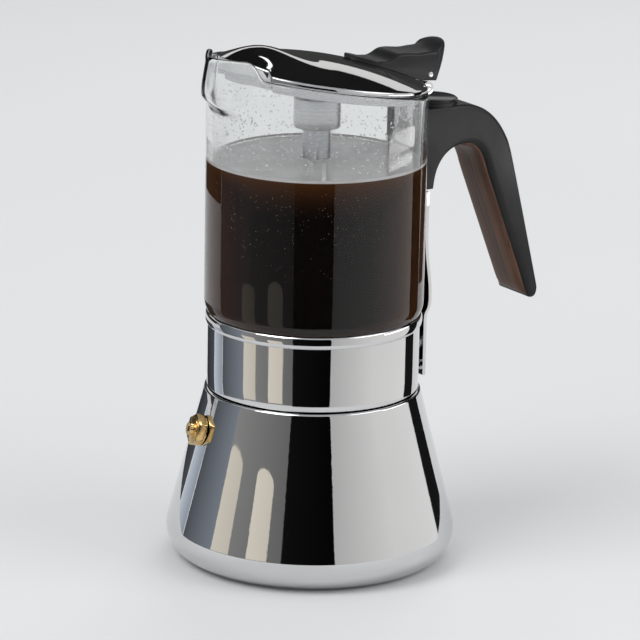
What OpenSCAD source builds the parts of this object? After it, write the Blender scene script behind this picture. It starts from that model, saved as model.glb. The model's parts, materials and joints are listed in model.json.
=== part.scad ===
// Stove-top coffee pot: steel boiler below, glass jug above.
// The upright axis of the boiler is Z. The handle points along +X and the spout along -X.

/* [Boiler] */
// Widest outer radius of the boiler
boiler_r = 54.3; // [50:0.1:58]
// How far the boiler's top edge stands out beyond the collar
boiler_lip = 0.7; // [0.2:0.1:1.5]
// Height of the boiler's top edge
boiler_h = 65.7; // [58:0.1:75]
// Radius of the rounding between the floor and the wall
base_round = 11; // [8:0.5:14]
// Thickness of the drawn steel wall
boiler_wall = 1.2; // [0.8:0.1:2]
// Thickness of the floor, made for an induction hob
floor_t = 3; // [2:0.1:5]
// Radius of the rounding on the boiler's top edge
top_round = 1.2; // [0.6:0.1:1.6]
// Wall of the neck
neck_wall = 1.7; // [1.2:0.1:2]
// Height of the neck above the boiler's top edge
neck_h = 11.7; // [9:0.1:15]

/* [Safety valve] */
// Depth of the valve below the boiler's top edge
valve_drop = 14; // [9.5:0.1:30]
// Angle of the valve around the boiler, from +X
valve_turn = 168.5; // [90:0.5:270]
// Width across the flats of the valve's hexagon
valve_hex = 10.5; // [10:0.1:14]
// Thickness of the valve's hexagon
valve_hex_t = 2.8; // [2.5:0.1:5]
// Radius of the valve's round boss
valve_boss_r = 2.5; // [2.2:0.1:3.5]
// Length of the boss beyond its ring
valve_boss_l = 1.3; // [0.6:0.1:2]
// Radius of the valve's threaded stem
valve_stem_r = 4; // [3.6:0.1:4.6]
// Length of the stem inside the boiler
valve_stem_l = 7.4; // [6.4:0.1:7.8]
// Radius of the piston's shaft
valve_pin_r = 0.9; // [0.7:0.05:1.2]
// Opening stroke of the piston
valve_stroke = 1.5; // [1:0.1:2]
// Wire radius of the valve spring
spring_wire_r = 0.25; // [0.2:0.05:0.3]

/* [Funnel and filter] */
// Wall of the funnel and its stem
funnel_wall = 0.8; // [0.6:0.1:1.2]
// Depth of the coffee basket
basket_depth = 25; // [18:0.5:30]
// Outer radius of the funnel's stem
stem_r = 4.6; // [4:0.1:6]
// Gap between the stem's foot and the boiler floor
stem_foot_gap = 4; // [3:0.5:8]
// Thickness of the funnel's flange
flange_t = 1; // [0.8:0.1:1.5]
// Height of the gasket
gasket_h = 3.6; // [2.5:0.1:5]
// Width of the gasket's ring
gasket_w = 7.9; // [6.5:0.1:10]
// Thickness of the perforated plates
plate_t = 0.8; // [0.6:0.1:1]
// Radius of the holes in the perforated plates
sieve_hole_r = 0.8; // [0.5:0.05:1]

/* [Jug] */
// How far the collar's wall lies inside the outer face of the glass
collar_in = 1.3; // [1:0.1:2]
// Wall of the collar at its thread
collar_wall = 3; // [2.5:0.1:3.2]
// Straight height of the collar
collar_h = 24; // [22.5:0.1:28]
// How far the bead of the glass cup stands out
bead_out = 0.9; // [0.5:0.1:1.2]
// Height of the bead of the glass cup
bead_h = 4.5; // [4:0.1:5]
// Thickness of the collar's deck
deck_t = 1.3; // [1:0.1:2]
// Outer radius of the glass
glass_r = 41; // [40.8:0.1:42]
// Wall of the glass
glass_wall = 2.5; // [2:0.1:3]
// Outer radius of the glass's lower corner
glass_corner = 10; // [9.5:0.1:11]
// Height of the glass on the jug's axis
glass_h = 93.7; // [80:0.1:110]
// Fall of the rim toward the handle, for each millimetre along X
rim_fall = 0.15; // [0.05:0.01:0.2]
// How far the spout's belly stands out of the glass
spout_out = 8.3; // [5:0.1:10]
// Half of the angle that the spout takes up
spout_half = 28; // [24:1:32]
// Height of the spout's lip above the rim's plane at the lip
lip_rise = 4.4; // [2:0.1:6]
// Height of the spout's formed part
spout_h = 23; // [18:0.5:30]

/* [Riser] */
// Outer radius of the riser tube
riser_r = 5.2; // [4.5:0.1:6]
// Bore radius of the riser tube
riser_bore_r = 3.7; // [3:0.1:4]
// Depth of the nozzle cap's top below the rim
cap_drop = 6.5; // [4:0.1:20]
// Outer radius of the nozzle cap
cap_r = 8.75; // [8:0.05:10]
// Height of the nozzle cap
cap_h = 11.7; // [9:0.1:14]
// Height of the riser's nut and of its flange
nut_h = 3; // [2.5:0.1:4]
// Width across the flats of the riser's nut
nut_flats = 15; // [14:0.5:18]

/* [Lid] */
// How far the lid's edge lies inside the outer face of the glass
lid_in = 0.5; // [0:0.1:1]
// Height of the lid's dome above its edge
dome_h = 6.2; // [4:0.1:8]
// Depth of the lid's turned-down edge
lid_edge = 1.5; // [1.2:0.1:2.5]
// Thickness of the lid
lid_t = 1; // [0.8:0.1:1.2]
// Height of the nose over the spout
nose_rise = 4.5; // [3:0.1:6]
// Depth of the ring that drops into the glass
plug_depth = 4; // [3:0.1:5]
// Gap between the lid's edge and the rim
lid_gap = 0.4; // [0.3:0.05:0.8]

/* [Lever and hinge] */
// Width of the thumb lever
lever_w = 16; // [13:0.5:18]
// Reach of the thumb lever forward of the hinge pin
lever_l = 32; // [26:0.5:34]
// Height of the thumb rest above the lid's edge plane at the hinge
thumb_rise = 16; // [12:0.1:20]
// Distance of the hinge pin from the glass
hinge_out = 3; // [2.9:0.1:4]
// Radius of the hinge pin and of the lever's pin
pin_r = 1; // [0.8:0.05:1.2]
// Radius of the hinge knuckles
knuckle_r = 2.5; // [2.2:0.1:2.8]
// Width of the lid's hinge tongue
tongue_w = 9; // [7:0.5:10]

/* [Handle] */
// Width of the handle
handle_w = 21; // [18:0.5:24]
// Radius of the round head
head_r = 10; // [8:0.1:10.4]
// Distance of the head's centre from the glass
head_out = 10; // [9.5:0.1:12]
// Depth of the head's top below the hinge pin
head_drop = 6.05; // [5.9:0.05:8]
// Depth of the round head
head_t = 13; // [10:0.5:15]
// Height of the leg that lies against the glass
leg_h = 32.2; // [29:0.1:36]
// Depth of the arch below the head's top
arch_drop = 16.8; // [15:0.1:20]
// Distance of the arch's top from the glass
arch_out = 21.4; // [19:0.1:24]
// Thickness of the head's cover
cover_t = 0.8; // [0.6:0.1:2]
// Reach of the grip's lower end from the glass
grip_out = 55; // [50:0.5:62]
// Height of the handle
handle_h = 80; // [72:1:90]
// Width of the wooden inlay
wood_w = 17.5; // [14:0.5:18]
// How far the inlay stands proud of the grip
wood_proud = 1.6; // [0.5:0.1:2]
// Depth of the inlay's bed in the grip
wood_bed = 2; // [1.5:0.1:2.5]
// Width of the steel strap
strap_w = 25; // [22:0.5:26]
// Thickness of the steel strap
strap_t = 1.3; // [1:0.1:1.5]
// Gap between the strap and the collar
strap_gap = 1.8; // [1.5:0.1:2.5]
// Gap between the strap and the glass
strap_glass_gap = 0.3; // [0.2:0.05:0.5]

/* [Hidden] */
$fn = 96;

// Clearances
slide_gap = 0.3;
thread_gap = 0.5;
run_gap = 0.05;
seat_gap = 0.1;

// Radii that follow the glass
collar_r = glass_r - collar_in;
collar_bore_r = collar_r - collar_wall;
neck_r = collar_bore_r - thread_gap;
boiler_top_r = collar_r + boiler_lip;
gasket_r = collar_bore_r - slide_gap;
gasket_hole_r = gasket_r - gasket_w;
lid_r = glass_r - lid_in;

// Heights of the stack between the boiler and the glass
valve_z = boiler_h - valve_drop;
neck_top = boiler_h + neck_h;
flange_top = neck_top + flange_t;
gasket_top = flange_top + gasket_h;
plate_top = gasket_top + plate_t;
press_z = plate_top + seat_gap;
deck_z = plate_top + 0.5 + nut_h;
deck_top = deck_z + deck_t;
seal_t = 2;
glass_z = deck_top + seal_t;
collar_z = boiler_h + 0.5;
collar_top = collar_z + collar_h;
cup_top = collar_top + bead_h;
rim_z = glass_z + glass_h;

// Boiler wall: a line tangent to the base arc that ends at the top edge
base_cx = boiler_r - base_round;
wall_turn = atan2(boiler_h - base_round, boiler_top_r - base_cx)
    - acos(base_round / norm([boiler_top_r - base_cx, boiler_h - base_round]));
wall_reach = boiler_top_r * cos(wall_turn) + boiler_h * sin(wall_turn);
neck_in = neck_r - neck_wall;
disc_turn = asin((floor_t - base_round) / base_round);

// Funnel
funnel_r = neck_in - slide_gap;
basket_in = funnel_r - funnel_wall;
basket_z = flange_top - basket_depth;
cone_h = 8;
stem_z = floor_t + stem_foot_gap;

// Glass
corner_cx = glass_r - glass_corner;
corner_cz = glass_z + glass_corner;
glass_in = glass_r - glass_wall;
glass_floor_top = glass_z + glass_wall;
lip_z = rim_z + rim_fall * (glass_r + spout_out) + lip_rise;
ring_steps = 64;

// Riser
riser_foot = deck_z - nut_h;
cap_top = rim_z - cap_drop;
cap_wall = 1.1;
riser_top = cap_top - cap_wall;
port_r = 1.6;

// Lid and hinge
lid_z = rim_z + lid_gap;
plug_r = glass_in - 0.8;
plug_t = 0.9;
hinge_x = glass_r + hinge_out;
hinge_z = rim_z - rim_fall * glass_r - 1.5;
lever_pin_z = hinge_z + 5.3;
lever_pin_x = hinge_x + 1;
lever_tip_x = hinge_x - lever_l;
tongue_start = hinge_x - 20;
tongue_end = hinge_x - 6;
ear_gap = 0.25;
knuckle_w = 3;

// Handle
strap_in = glass_r + strap_glass_gap;
strap_low = collar_r + strap_gap;
strap_bow = glass_r + bead_out + 1.6;
leg_x = strap_in + strap_t + 0.05;
head_x = glass_r + head_out;
head_z = hinge_z - head_drop;
leg_z = head_z - leg_h;
shoulder_z = head_z - 1.2;
arch_top = [glass_r + arch_out, head_z - arch_drop];
grip_top = arch_top + [9, -12.2];
grip_reach = glass_r + grip_out;
grip_z = head_z - handle_h;
grip_foot = [grip_reach - 4.1, grip_z];
grip_run = norm(grip_top - grip_foot);
grip_up = (grip_top - grip_foot) / grip_run;
grip_in = [-grip_up[1], grip_up[0]];
edge_round = 1.6;
screw_z = [head_z - 3.6, head_z - 10.6];
rivet_y = 6.5;
bracket_x = strap_in + strap_t + 0.02;
bracket_z = head_z + cover_t + 0.3;
rivet_z = collar_z + 11;
rivet_r = 1.5;

// Points of an arc about a centre
function arc(cx, cy, r, from, to, n) =
    [for (i = [0:n]) let (a = from + (to - from) * i / n) [cx + r * cos(a), cy + r * sin(a)]];

// Points of a cubic curve between two ends
function curve(a, b, c, d, n) =
    [for (i = [0:n]) let (t = i / n, u = 1 - t) u*u*u*a + 3*u*u*t*b + 3*u*t*t*c + t*t*t*d];

// Smooth step from 0 to 1
function smooth(x) = let (t = min(1, max(0, x))) t * t * (3 - 2 * t);

// Closed outline moved inward by a distance, with its corners mitred
function inset(p, d) = let (n = len(p))
    [for (i = [0:n-1])
        let (
            u = p[i] - p[(i + n - 1) % n],
            v = p[(i + 1) % n] - p[i],
            a = [-u[1], u[0]] / norm(u),
            b = [-v[1], v[0]] / norm(v))
        p[i] + d * (a + b) / (1 + a * b)];

// Open line moved sideways by a distance
function beside(p, d) = let (n = len(p))
    [for (i = [0:n-1]) let (v = p[min(i + 1, n - 1)] - p[max(i - 1, 0)]) p[i] + d * [-v[1], v[0]] / norm(v)];

// Angle of a step around the jug, closer together at the spout
function step_turn(i) = let (u = 360 * i / ring_steps - 180) u - 0.5 * sin(u) * 180 / PI;

// How much of the spout there is at an angle from -X
function spout_share(a) = let (soft = 4, s = (norm([a, soft]) - soft) / (norm([spout_half, soft]) - soft))
    s >= 1 ? 0 : pow(1 - s, 1.6);

// How much of the spout there is at a height
function spout_level(z) =
    smooth((z - (lip_z - spout_h)) / (spout_h * 0.42)) * (1 - 0.26 * smooth((z - lip_z + 13) / 13));

// Outer radius of the glass at an angle from -X and a height
function glass_out(a, z) = glass_r + spout_out * spout_share(abs(a)) * spout_level(z);

// Height of the glass rim at an angle from -X
function rim_at(a) = let (w = 1 - smooth((abs(a) - spout_half * 0.68) / (spout_half * 0.32)))
    (rim_z + rim_fall * glass_r * cos(a)) * (1 - w) + lip_z * w;

// Place on the jug at an angle from -X, a radius and a height
function around(a, r, z) = [-r * cos(a), r * sin(a), z];

// Edge radius of the lid, drawn in where the spout's walls stand
function lid_edge_r(a) = let (
        notch = 1 - smooth((abs(a) - spout_half) / 5),
        nose = 1 - smooth((abs(a) - 7) / 9))
    lid_r - 3 * notch + 2.2 * nose * notch;

// Height of the nose above the dome
function nose_at(x, y) = let (side = y / 15, along = smooth((-x - 6) / 20) * (1 - 0.45 * smooth((-x - 28) / 12)))
    nose_rise * exp(-side * side) * along;

// Top surface of the lid
function lid_top(x, y) = lid_z + lid_edge - rim_fall * x + dome_h * (1 - (x*x + y*y) / (lid_r * lid_r)) + nose_at(x, y);

// Faces that join rings of points into a closed skin between two end points
function skin_faces(rings, n) = concat(
    [for (i = [0:n-1]) [0, 1 + i, 1 + (i + 1) % n]],
    [for (k = [0:rings-2], i = [0:n-1]) let (a = 1 + k * n + i, b = 1 + k * n + (i + 1) % n) [a, a + n, b + n]],
    [for (k = [0:rings-2], i = [0:n-1]) let (a = 1 + k * n + i, b = 1 + k * n + (i + 1) % n) [a, b + n, b]],
    [for (i = [0:n-1]) let (k = 1 + (rings - 1) * n) [rings * n + 1, k + (i + 1) % n, k + i]]);

// Faces that join rings of points into a closed loop of skin
function loop_faces(rings, n) = concat(
    [for (k = [0:rings-1], i = [0:n-1])
        let (m = (k + 1) % rings, j = (i + 1) % n) [k * n + i, m * n + i, m * n + j]],
    [for (k = [0:rings-1], i = [0:n-1])
        let (m = (k + 1) % rings, j = (i + 1) % n) [k * n + i, m * n + j, k * n + j]]);

// Places a child on the boiler's wall, with Z outward and 0 at the outer surface
module on_wall() {
    rotate([0, 0, valve_turn])
        translate([(wall_reach - valve_z * sin(wall_turn)) / cos(wall_turn), 0, valve_z])
            rotate([0, 90 - wall_turn, 0]) children();
}

// Extrudes a child drawn in X and Z along Y, centred
module across(width) {
    rotate([90, 0, 0]) translate([0, 0, -width / 2]) linear_extrude(width) children();
}

module hexagon(flats, height) {
    cylinder(r = flats / 2 / cos(30), h = height, $fn = 6);
}

// Rings of round holes in a plate
module sieve_holes(rings, pitch, height) {
    cylinder(r = sieve_hole_r, h = height, $fn = 16);
    for (k = [1:rings], i = [0:6*k-1])
        rotate([0, 0, 360 * i / (6 * k)]) translate([k * pitch, 0, 0])
            cylinder(r = sieve_hole_r, h = height, $fn = 16);
}

module boiler() {
    inner_floor = -asin((base_round - floor_t) / (base_round - boiler_wall));
    edge_z = boiler_h - top_round;
    edge_cx = (wall_reach - top_round - edge_z * sin(wall_turn)) / cos(wall_turn);
    under_z = boiler_h - boiler_wall;
    under_r = (wall_reach - boiler_wall - under_z * sin(wall_turn)) / cos(wall_turn);
    color("silver") difference() {
        rotate_extrude() polygon(concat(
            arc(base_cx, base_round, base_round, disc_turn, wall_turn, 10),
            arc(edge_cx, edge_z, top_round, wall_turn, 90, 4),
            [[neck_r, boiler_h], [neck_r, neck_top - 0.5], [neck_r - 0.5, neck_top]],
            [[neck_in, neck_top], [neck_in, under_z], [under_r, under_z]],
            arc(base_cx, base_round, base_round - boiler_wall, wall_turn, inner_floor, 10)));
        on_wall() translate([0, 0, -4]) cylinder(r = valve_stem_r + seat_gap, h = 8);
    }
}

module base_disc() {
    color("silver") rotate_extrude()
        polygon(concat([[0, 0]], arc(base_cx, base_round, base_round, -90, disc_turn, 5), [[0, floor_t]]));
}

// Heights of the valve's flange, hexagon and ring, then of the whole valve
valve_flange_t = 0.7;
valve_ring_z = valve_flange_t + valve_hex_t;
valve_top = valve_ring_z + 0.5 + valve_boss_l;
chamber_top = 1.5;

module valve_body() {
    color("goldenrod") on_wall() difference() {
        union() {
            translate([0, 0, 0.1]) cylinder(r = valve_hex / 2 + 0.5, h = valve_flange_t - 0.1);
            translate([0, 0, valve_flange_t - 0.1]) hexagon(valve_hex, valve_hex_t + 0.1);
            cylinder(r = valve_hex / 2 - 1.05, h = valve_ring_z + 0.5);
            cylinder(r = valve_boss_r, h = valve_top);
            translate([0, 0, -boiler_wall - valve_stem_l]) cylinder(r = valve_stem_r, h = boiler_wall + valve_stem_l + 1);
        }
        translate([0, 0, -boiler_wall - valve_stem_l + 1])
            cylinder(r = 2.9, h = chamber_top + boiler_wall + valve_stem_l - 1);
        translate([0, 0, -boiler_wall - valve_stem_l - 1]) cylinder(r = 1.6, h = 3);
        cylinder(r = valve_pin_r + run_gap, h = valve_top + 1);
    }
}

module valve_washer() {
    color("ivory") on_wall() translate([0, 0, -boiler_wall - 1.42]) difference() {
        cylinder(r = valve_hex / 2 + 0.5, h = 1);
        translate([0, 0, -1]) cylinder(r = valve_stem_r + seat_gap, h = 3);
    }
}

module valve_nut() {
    color("goldenrod") on_wall() translate([0, 0, -boiler_wall - 4.52]) difference() {
        hexagon(valve_hex, 3);
        translate([0, 0, -1]) cylinder(r = valve_stem_r + run_gap, h = 5);
    }
}

// Lower end of the spring, on the piston's head
valve_seat = -boiler_wall - valve_stem_l + 1.02;
valve_head_t = 1.4;

module valve_pin() {
    shaft = valve_top - 1.2 - valve_seat;
    color("silver") on_wall() {
        translate([0, 0, valve_seat]) cylinder(r = 2.9 - run_gap, h = valve_head_t);
        translate([0, 0, valve_seat]) cylinder(r = valve_pin_r, h = shaft);
    }
}

module valve_spring() {
    turns = 5;
    sides = 6;
    steps = turns * 12;
    coil_r = 2.1;
    low = valve_seat + valve_head_t + spring_wire_r;
    high = chamber_top - spring_wire_r;
    color("gainsboro") on_wall() polyhedron(
        points = concat(
            [[coil_r, 0, low]],
            [for (k = [0:steps], i = [0:sides-1])
                let (a = 360 * turns * k / steps, w = -360 * i / sides, r = coil_r + spring_wire_r * cos(w))
                [r * cos(a), r * sin(a), low + (high - low) * k / steps + spring_wire_r * sin(w)]],
            [[coil_r, 0, high]]),
        faces = skin_faces(steps + 1, sides));
}

module funnel() {
    color("lightgray") rotate_extrude() polygon([
        [neck_r - 0.3, neck_top], [neck_r - 0.3, flange_top], [basket_in, flange_top],
        [basket_in, basket_z], [basket_in - 2, basket_z],
        [stem_r - funnel_wall, basket_z - cone_h], [stem_r - funnel_wall, stem_z],
        [stem_r, stem_z], [stem_r, basket_z - cone_h - 0.6],
        [basket_in - 1.2, basket_z - funnel_wall], [funnel_r, basket_z - funnel_wall],
        [funnel_r, neck_top]
    ]);
}

module basket_sieve() {
    color("silver") translate([0, 0, basket_z + 0.02]) difference() {
        cylinder(r = basket_in - 0.05, h = plate_t);
        translate([0, 0, -1]) sieve_holes(4, (basket_in - 7) / 4, plate_t + 2);
    }
}

module gasket() {
    color("whitesmoke") translate([0, 0, flange_top + 0.02]) difference() {
        cylinder(r = gasket_r, h = gasket_h - 0.04);
        translate([0, 0, -1]) cylinder(r = gasket_hole_r, h = gasket_h + 2);
    }
}

module filter_plate() {
    color("silver") translate([0, 0, gasket_top]) difference() {
        cylinder(r = gasket_hole_r + 5, h = plate_t);
        translate([0, 0, -1]) sieve_holes(4, (gasket_hole_r - 4.5) / 4, plate_t + 2);
    }
}

module collar() {
    cup_r = glass_corner + 0.1;
    rim_turn = asin((cup_top - corner_cz) / cup_r);
    color("silver") difference() {
        rotate_extrude() polygon(concat(
            [[collar_bore_r + 0.6, collar_z], [collar_r - 0.4, collar_z], [collar_r, collar_z + 0.4]],
            [for (t = [-90:15:60]) [collar_r + bead_out * cos(t), collar_top + bead_h / 2 * (1 + sin(t))]],
            arc(corner_cx, corner_cz, cup_r, rim_turn, -72, 8),
            [[corner_cx + cup_r * cos(72), deck_top], [riser_r + seat_gap, deck_top]],
            [[riser_r + seat_gap, deck_z], [gasket_hole_r + 2, deck_z], [gasket_hole_r + 2, press_z]],
            [[collar_bore_r, press_z], [collar_bore_r, collar_z + 0.6]]));
        for (side = [-1, 1])
            translate([collar_r - 2, side * rivet_y, rivet_z]) rotate([0, 90, 0])
                cylinder(r = rivet_r + run_gap, h = 6, $fn = 24);
    }
}

module glass_seal() {
    color("whitesmoke") translate([0, 0, deck_top + 0.01]) difference() {
        cylinder(r = corner_cx - 0.5, h = seal_t - 0.02);
        translate([0, 0, -1]) cylinder(r = corner_cx - 11, h = seal_t + 2);
    }
}

module glass_jug() {
    half = glass_wall / 2;
    rise = [0, 0.4, 0.74, 0.8, 0.845, 0.885, 0.93, 1];
    last = len(rise) - 1;
    steps = [for (i = [0:ring_steps-1]) step_turn(i)];
    outer_corner = arc(corner_cx, corner_cz, glass_corner, -90, -18, 4);
    inner_corner = arc(corner_cx, corner_cz, glass_corner - glass_wall, -18, -90, 4);
    points = concat(
        [[0, 0, glass_z]],
        [for (p = outer_corner, a = steps) around(a, p[0], p[1])],
        [for (t = rise, a = steps) let (z = corner_cz + (rim_at(a) - half - corner_cz) * t)
            around(a, glass_out(a, z), z)],
        [for (w = [45, 90, 135], a = steps) let (z = rim_at(a) - half)
            around(a, glass_out(a, z) - half + half * cos(w), z + half * sin(w))],
        [for (k = [last:-1:0], a = steps) let (z = corner_cz + (rim_at(a) - half - corner_cz) * rise[k])
            around(a, glass_out(a, z) - glass_wall, z)],
        [for (p = inner_corner, a = steps) around(a, p[0], p[1])],
        [[0, 0, glass_floor_top]]);
    rings = 2 * len(outer_corner) + 2 * len(rise) + 3;
    color("lightcyan", 0.4) difference() {
        polyhedron(points = points, faces = skin_faces(rings, ring_steps));
        translate([0, 0, glass_z - 5]) cylinder(r = riser_r + slide_gap, h = 12);
    }
}

module riser_tube() {
    color("silver") difference() {
        union() {
            translate([0, 0, riser_foot]) cylinder(r = riser_r, h = riser_top - riser_foot);
            translate([0, 0, glass_floor_top + 1]) hexagon(nut_flats, nut_h);
        }
        translate([0, 0, riser_foot - 1]) cylinder(r = riser_bore_r, h = riser_top - riser_foot + 2);
        for (turn = [45:90:315])
            translate([0, 0, riser_top - 6.5]) rotate([0, 90, turn])
                cylinder(r = port_r, h = riser_r + 2, $fn = 24);
    }
}

module riser_washer() {
    color("whitesmoke") translate([0, 0, glass_floor_top + 0.01]) difference() {
        cylinder(r = nut_flats / 2 + 1, h = 0.98);
        translate([0, 0, -1]) cylinder(r = riser_r + seat_gap, h = 3);
    }
}

module riser_nut() {
    color("silver") translate([0, 0, riser_foot]) difference() {
        hexagon(nut_flats, nut_h);
        translate([0, 0, -1]) cylinder(r = riser_r + run_gap, h = nut_h + 2);
    }
}

module nozzle_cap() {
    bottom = cap_top - cap_h;
    soft = 1.2;
    color("silver") rotate_extrude() polygon(concat(
        [[0, riser_top - 3.5], [riser_bore_r - run_gap, riser_top - 3.5], [riser_bore_r - run_gap, riser_top]],
        [[cap_r - cap_wall, riser_top], [cap_r - cap_wall, bottom], [cap_r, bottom]],
        arc(cap_r - soft, cap_top - soft, soft, 0, 90, 5),
        [[0, cap_top]]));
}

// Side view of the strap: inner face from the foot to the top
strap_line = concat(
    [[strap_low, collar_z], [strap_low, collar_top - 3]],
    curve([strap_low, collar_top - 2], [strap_low, collar_top + 1.5],
        [strap_bow, collar_top + 1], [strap_bow, cup_top + 0.5], 5),
    curve([strap_bow, cup_top + 2], [strap_bow, cup_top + 10],
        [strap_in, cup_top + 16], [strap_in, cup_top + 26], 6),
    [[strap_in, hinge_z - 2.6]]);

module strap_outline() {
    last = len(strap_line) - 1;
    polygon(concat(
        [for (p = strap_line) p],
        [for (i = [last:-1:0]) strap_line[i] + [strap_t, 0]]));
}

module handle_strap() {
    color("silver") difference() {
        intersection() {
            across(strap_w) strap_outline();
            translate([0, 0, collar_z]) rotate([90, 0, 90]) linear_extrude(strap_bow + 9) union() {
                translate([-strap_w / 2, 0]) square([strap_w, leg_z - collar_z - 0.1]);
                translate([-lever_w / 2, 0]) square([lever_w, hinge_z - collar_z - 2.6]);
            }
        }
        for (side = [-1, 1])
            translate([strap_low - 1, side * rivet_y, rivet_z]) rotate([0, 90, 0])
                cylinder(r = rivet_r + run_gap, h = 6, $fn = 24);
        for (z = screw_z) translate([strap_in, 0, z]) rotate([0, 90, 0]) {
            translate([0, 0, -1]) cylinder(r = 1.6, h = 6, $fn = 24);
            translate([0, 0, -0.01]) cylinder(r1 = 2.8, r2 = 1.6, h = 1.2, $fn = 24);
        }
    }
}

module strap_rivets() {
    start = collar_r - 1.9;
    color("silver") for (side = [-1, 1]) translate([0, side * rivet_y, rivet_z]) rotate([0, 90, 0]) {
        translate([0, 0, start]) cylinder(r = rivet_r, h = strap_low + strap_t + 1 - start, $fn = 24);
        translate([0, 0, collar_r + 0.02]) cylinder(r = 2.4, h = strap_gap - 0.04, $fn = 24);
        translate([0, 0, strap_low + strap_t + 0.02]) cylinder(r1 = 2.8, r2 = 1.8, h = 1.1, $fn = 24);
    }
}

module handle_screws() {
    color("silver") for (z = screw_z) translate([strap_in, 0, z]) rotate([0, 90, 0]) {
        cylinder(r1 = 2.7, r2 = 1.5, h = 1.2, $fn = 24);
        cylinder(r = 1.5, h = 10, $fn = 24);
    }
}

// Inner line of the handle from the arch down to the grip's straight part
arch_line = curve(arch_top, arch_top + [4.5, -0.3], grip_top + [-2.2, 7.2], grip_top, 5);

// Side view of the handle without its edge rounding
handle_line = concat(
    [[strap_in - 1.8, shoulder_z], [strap_in - 1.8, leg_z], [leg_x + 3.4, leg_z]],
    curve([leg_x + 3.95, leg_z + 2.6], [leg_x + 5.45, arch_top[1] - 3.6],
        arch_top + [-8, 0.2], arch_top - [1.6, 0], 7),
    arch_line,
    [grip_foot, grip_foot + [1.2, -0.7], grip_foot + [2.7, -0.5], grip_foot + [3.8, 0.9]],
    curve([grip_reach, grip_z + 3], [grip_reach - 3.2, grip_z + 17],
        grip_top + [12, 3.3], grip_top + [10.6, 8], 4),
    curve(grip_top + [9.5, 11.2], grip_top + [5.5, 19.6],
        [arch_top[0] + 7.8, shoulder_z - 0.2], [head_x + 7, shoulder_z], 7));

// Inner line of the grip, from the foot up into the arch
function wood_path(spread) = concat(
    [for (t = [0.8 - spread, 3, grip_run / 2, grip_run - 2]) grip_foot + t * grip_up],
    [for (i = [len(arch_line) - 2:-1:0]) arch_line[i]],
    [arch_top - [3.4 + spread, 0]]);

// Side view of the wooden inlay, lying along the grip's inner line
function wood_line(spread) = let (
        p = wood_path(spread),
        last = len(p) - 1,
        over = beside(p, wood_proud),
        under = beside(p, -wood_bed - spread))
    concat([p[0]], [for (i = [1:last-1]) over[i]], [p[last]], [for (i = [last:-1:0]) under[i]]);

module handle_body() {
    layers = [for (a = [0, 35, 65]) [handle_w - 2 * edge_round * (1 - sin(a)), edge_round * (1 - cos(a))]];
    color([0.13, 0.13, 0.14]) difference() {
        union() {
            for (layer = layers) across(layer[0]) polygon(inset(handle_line, layer[1]));
            intersection() {
                translate([head_x, 0, head_z - head_t]) cylinder(r = head_r, h = head_t);
                translate([leg_x, -2 * head_r, head_z - head_t]) cube([3 * head_r, 4 * head_r, head_t + 1]);
            }
        }
        translate([0, 0, leg_z - 1]) cylinder(r = strap_in, h = leg_h + 2);
        translate([strap_in - 5, -lever_w / 2 - seat_gap, leg_z - 1])
            cube([leg_x - strap_in + 5, lever_w + 2 * seat_gap, leg_h + 2]);
        across(wood_w + 0.1) polygon(wood_line(0.05));
        for (z = screw_z) translate([leg_x - 1, 0, z]) rotate([0, 90, 0]) cylinder(r = 1.55, h = 11, $fn = 24);
    }
}

module handle_cover() {
    color([0.05, 0.05, 0.06]) difference() {
        translate([head_x, 0, head_z + 0.02]) union() {
            cylinder(r = head_r, h = cover_t - 0.4);
            cylinder(r = head_r - 0.5, h = cover_t);
        }
        translate([leg_x - 2 * head_r, -2 * head_r, head_z - 1]) cube([2 * head_r, 4 * head_r, cover_t + 2]);
    }
}

module wood_inlay() {
    color([0.3, 0.19, 0.13]) across(wood_w) polygon(wood_line(0));
}

// Side view of the bracket: plate behind the glass and a knuckle round the pin
module bracket_outline() {
    difference() {
        union() {
            translate([hinge_x, hinge_z]) circle(r = knuckle_r, $fn = 48);
            translate([bracket_x, bracket_z]) square([1.3, hinge_z - bracket_z]);
        }
        translate([hinge_x, hinge_z]) circle(r = pin_r + 0.01, $fn = 48);
    }
}

module hinge_bracket() {
    ear = tongue_w / 2 + ear_gap;
    color("silver") {
        for (side = [-1, 1])
            translate([0, side * (ear + knuckle_w / 2), 0]) across(knuckle_w) bracket_outline();
        across(2 * (ear + knuckle_w)) translate([bracket_x, bracket_z])
            square([1.3, hinge_z - knuckle_r - 0.25 - bracket_z]);
    }
}

module hinge_pin() {
    color("silver") translate([hinge_x, 0, hinge_z]) rotate([90, 0, 0])
        cylinder(r = pin_r, h = lever_w + 0.4, center = true, $fn = 48);
}

// Fractions of the lid's radius at which its rings of points lie
lid_rings = [0.16, 0.32, 0.48, 0.62, 0.74, 0.84, 0.92, 0.97, 1];

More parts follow.
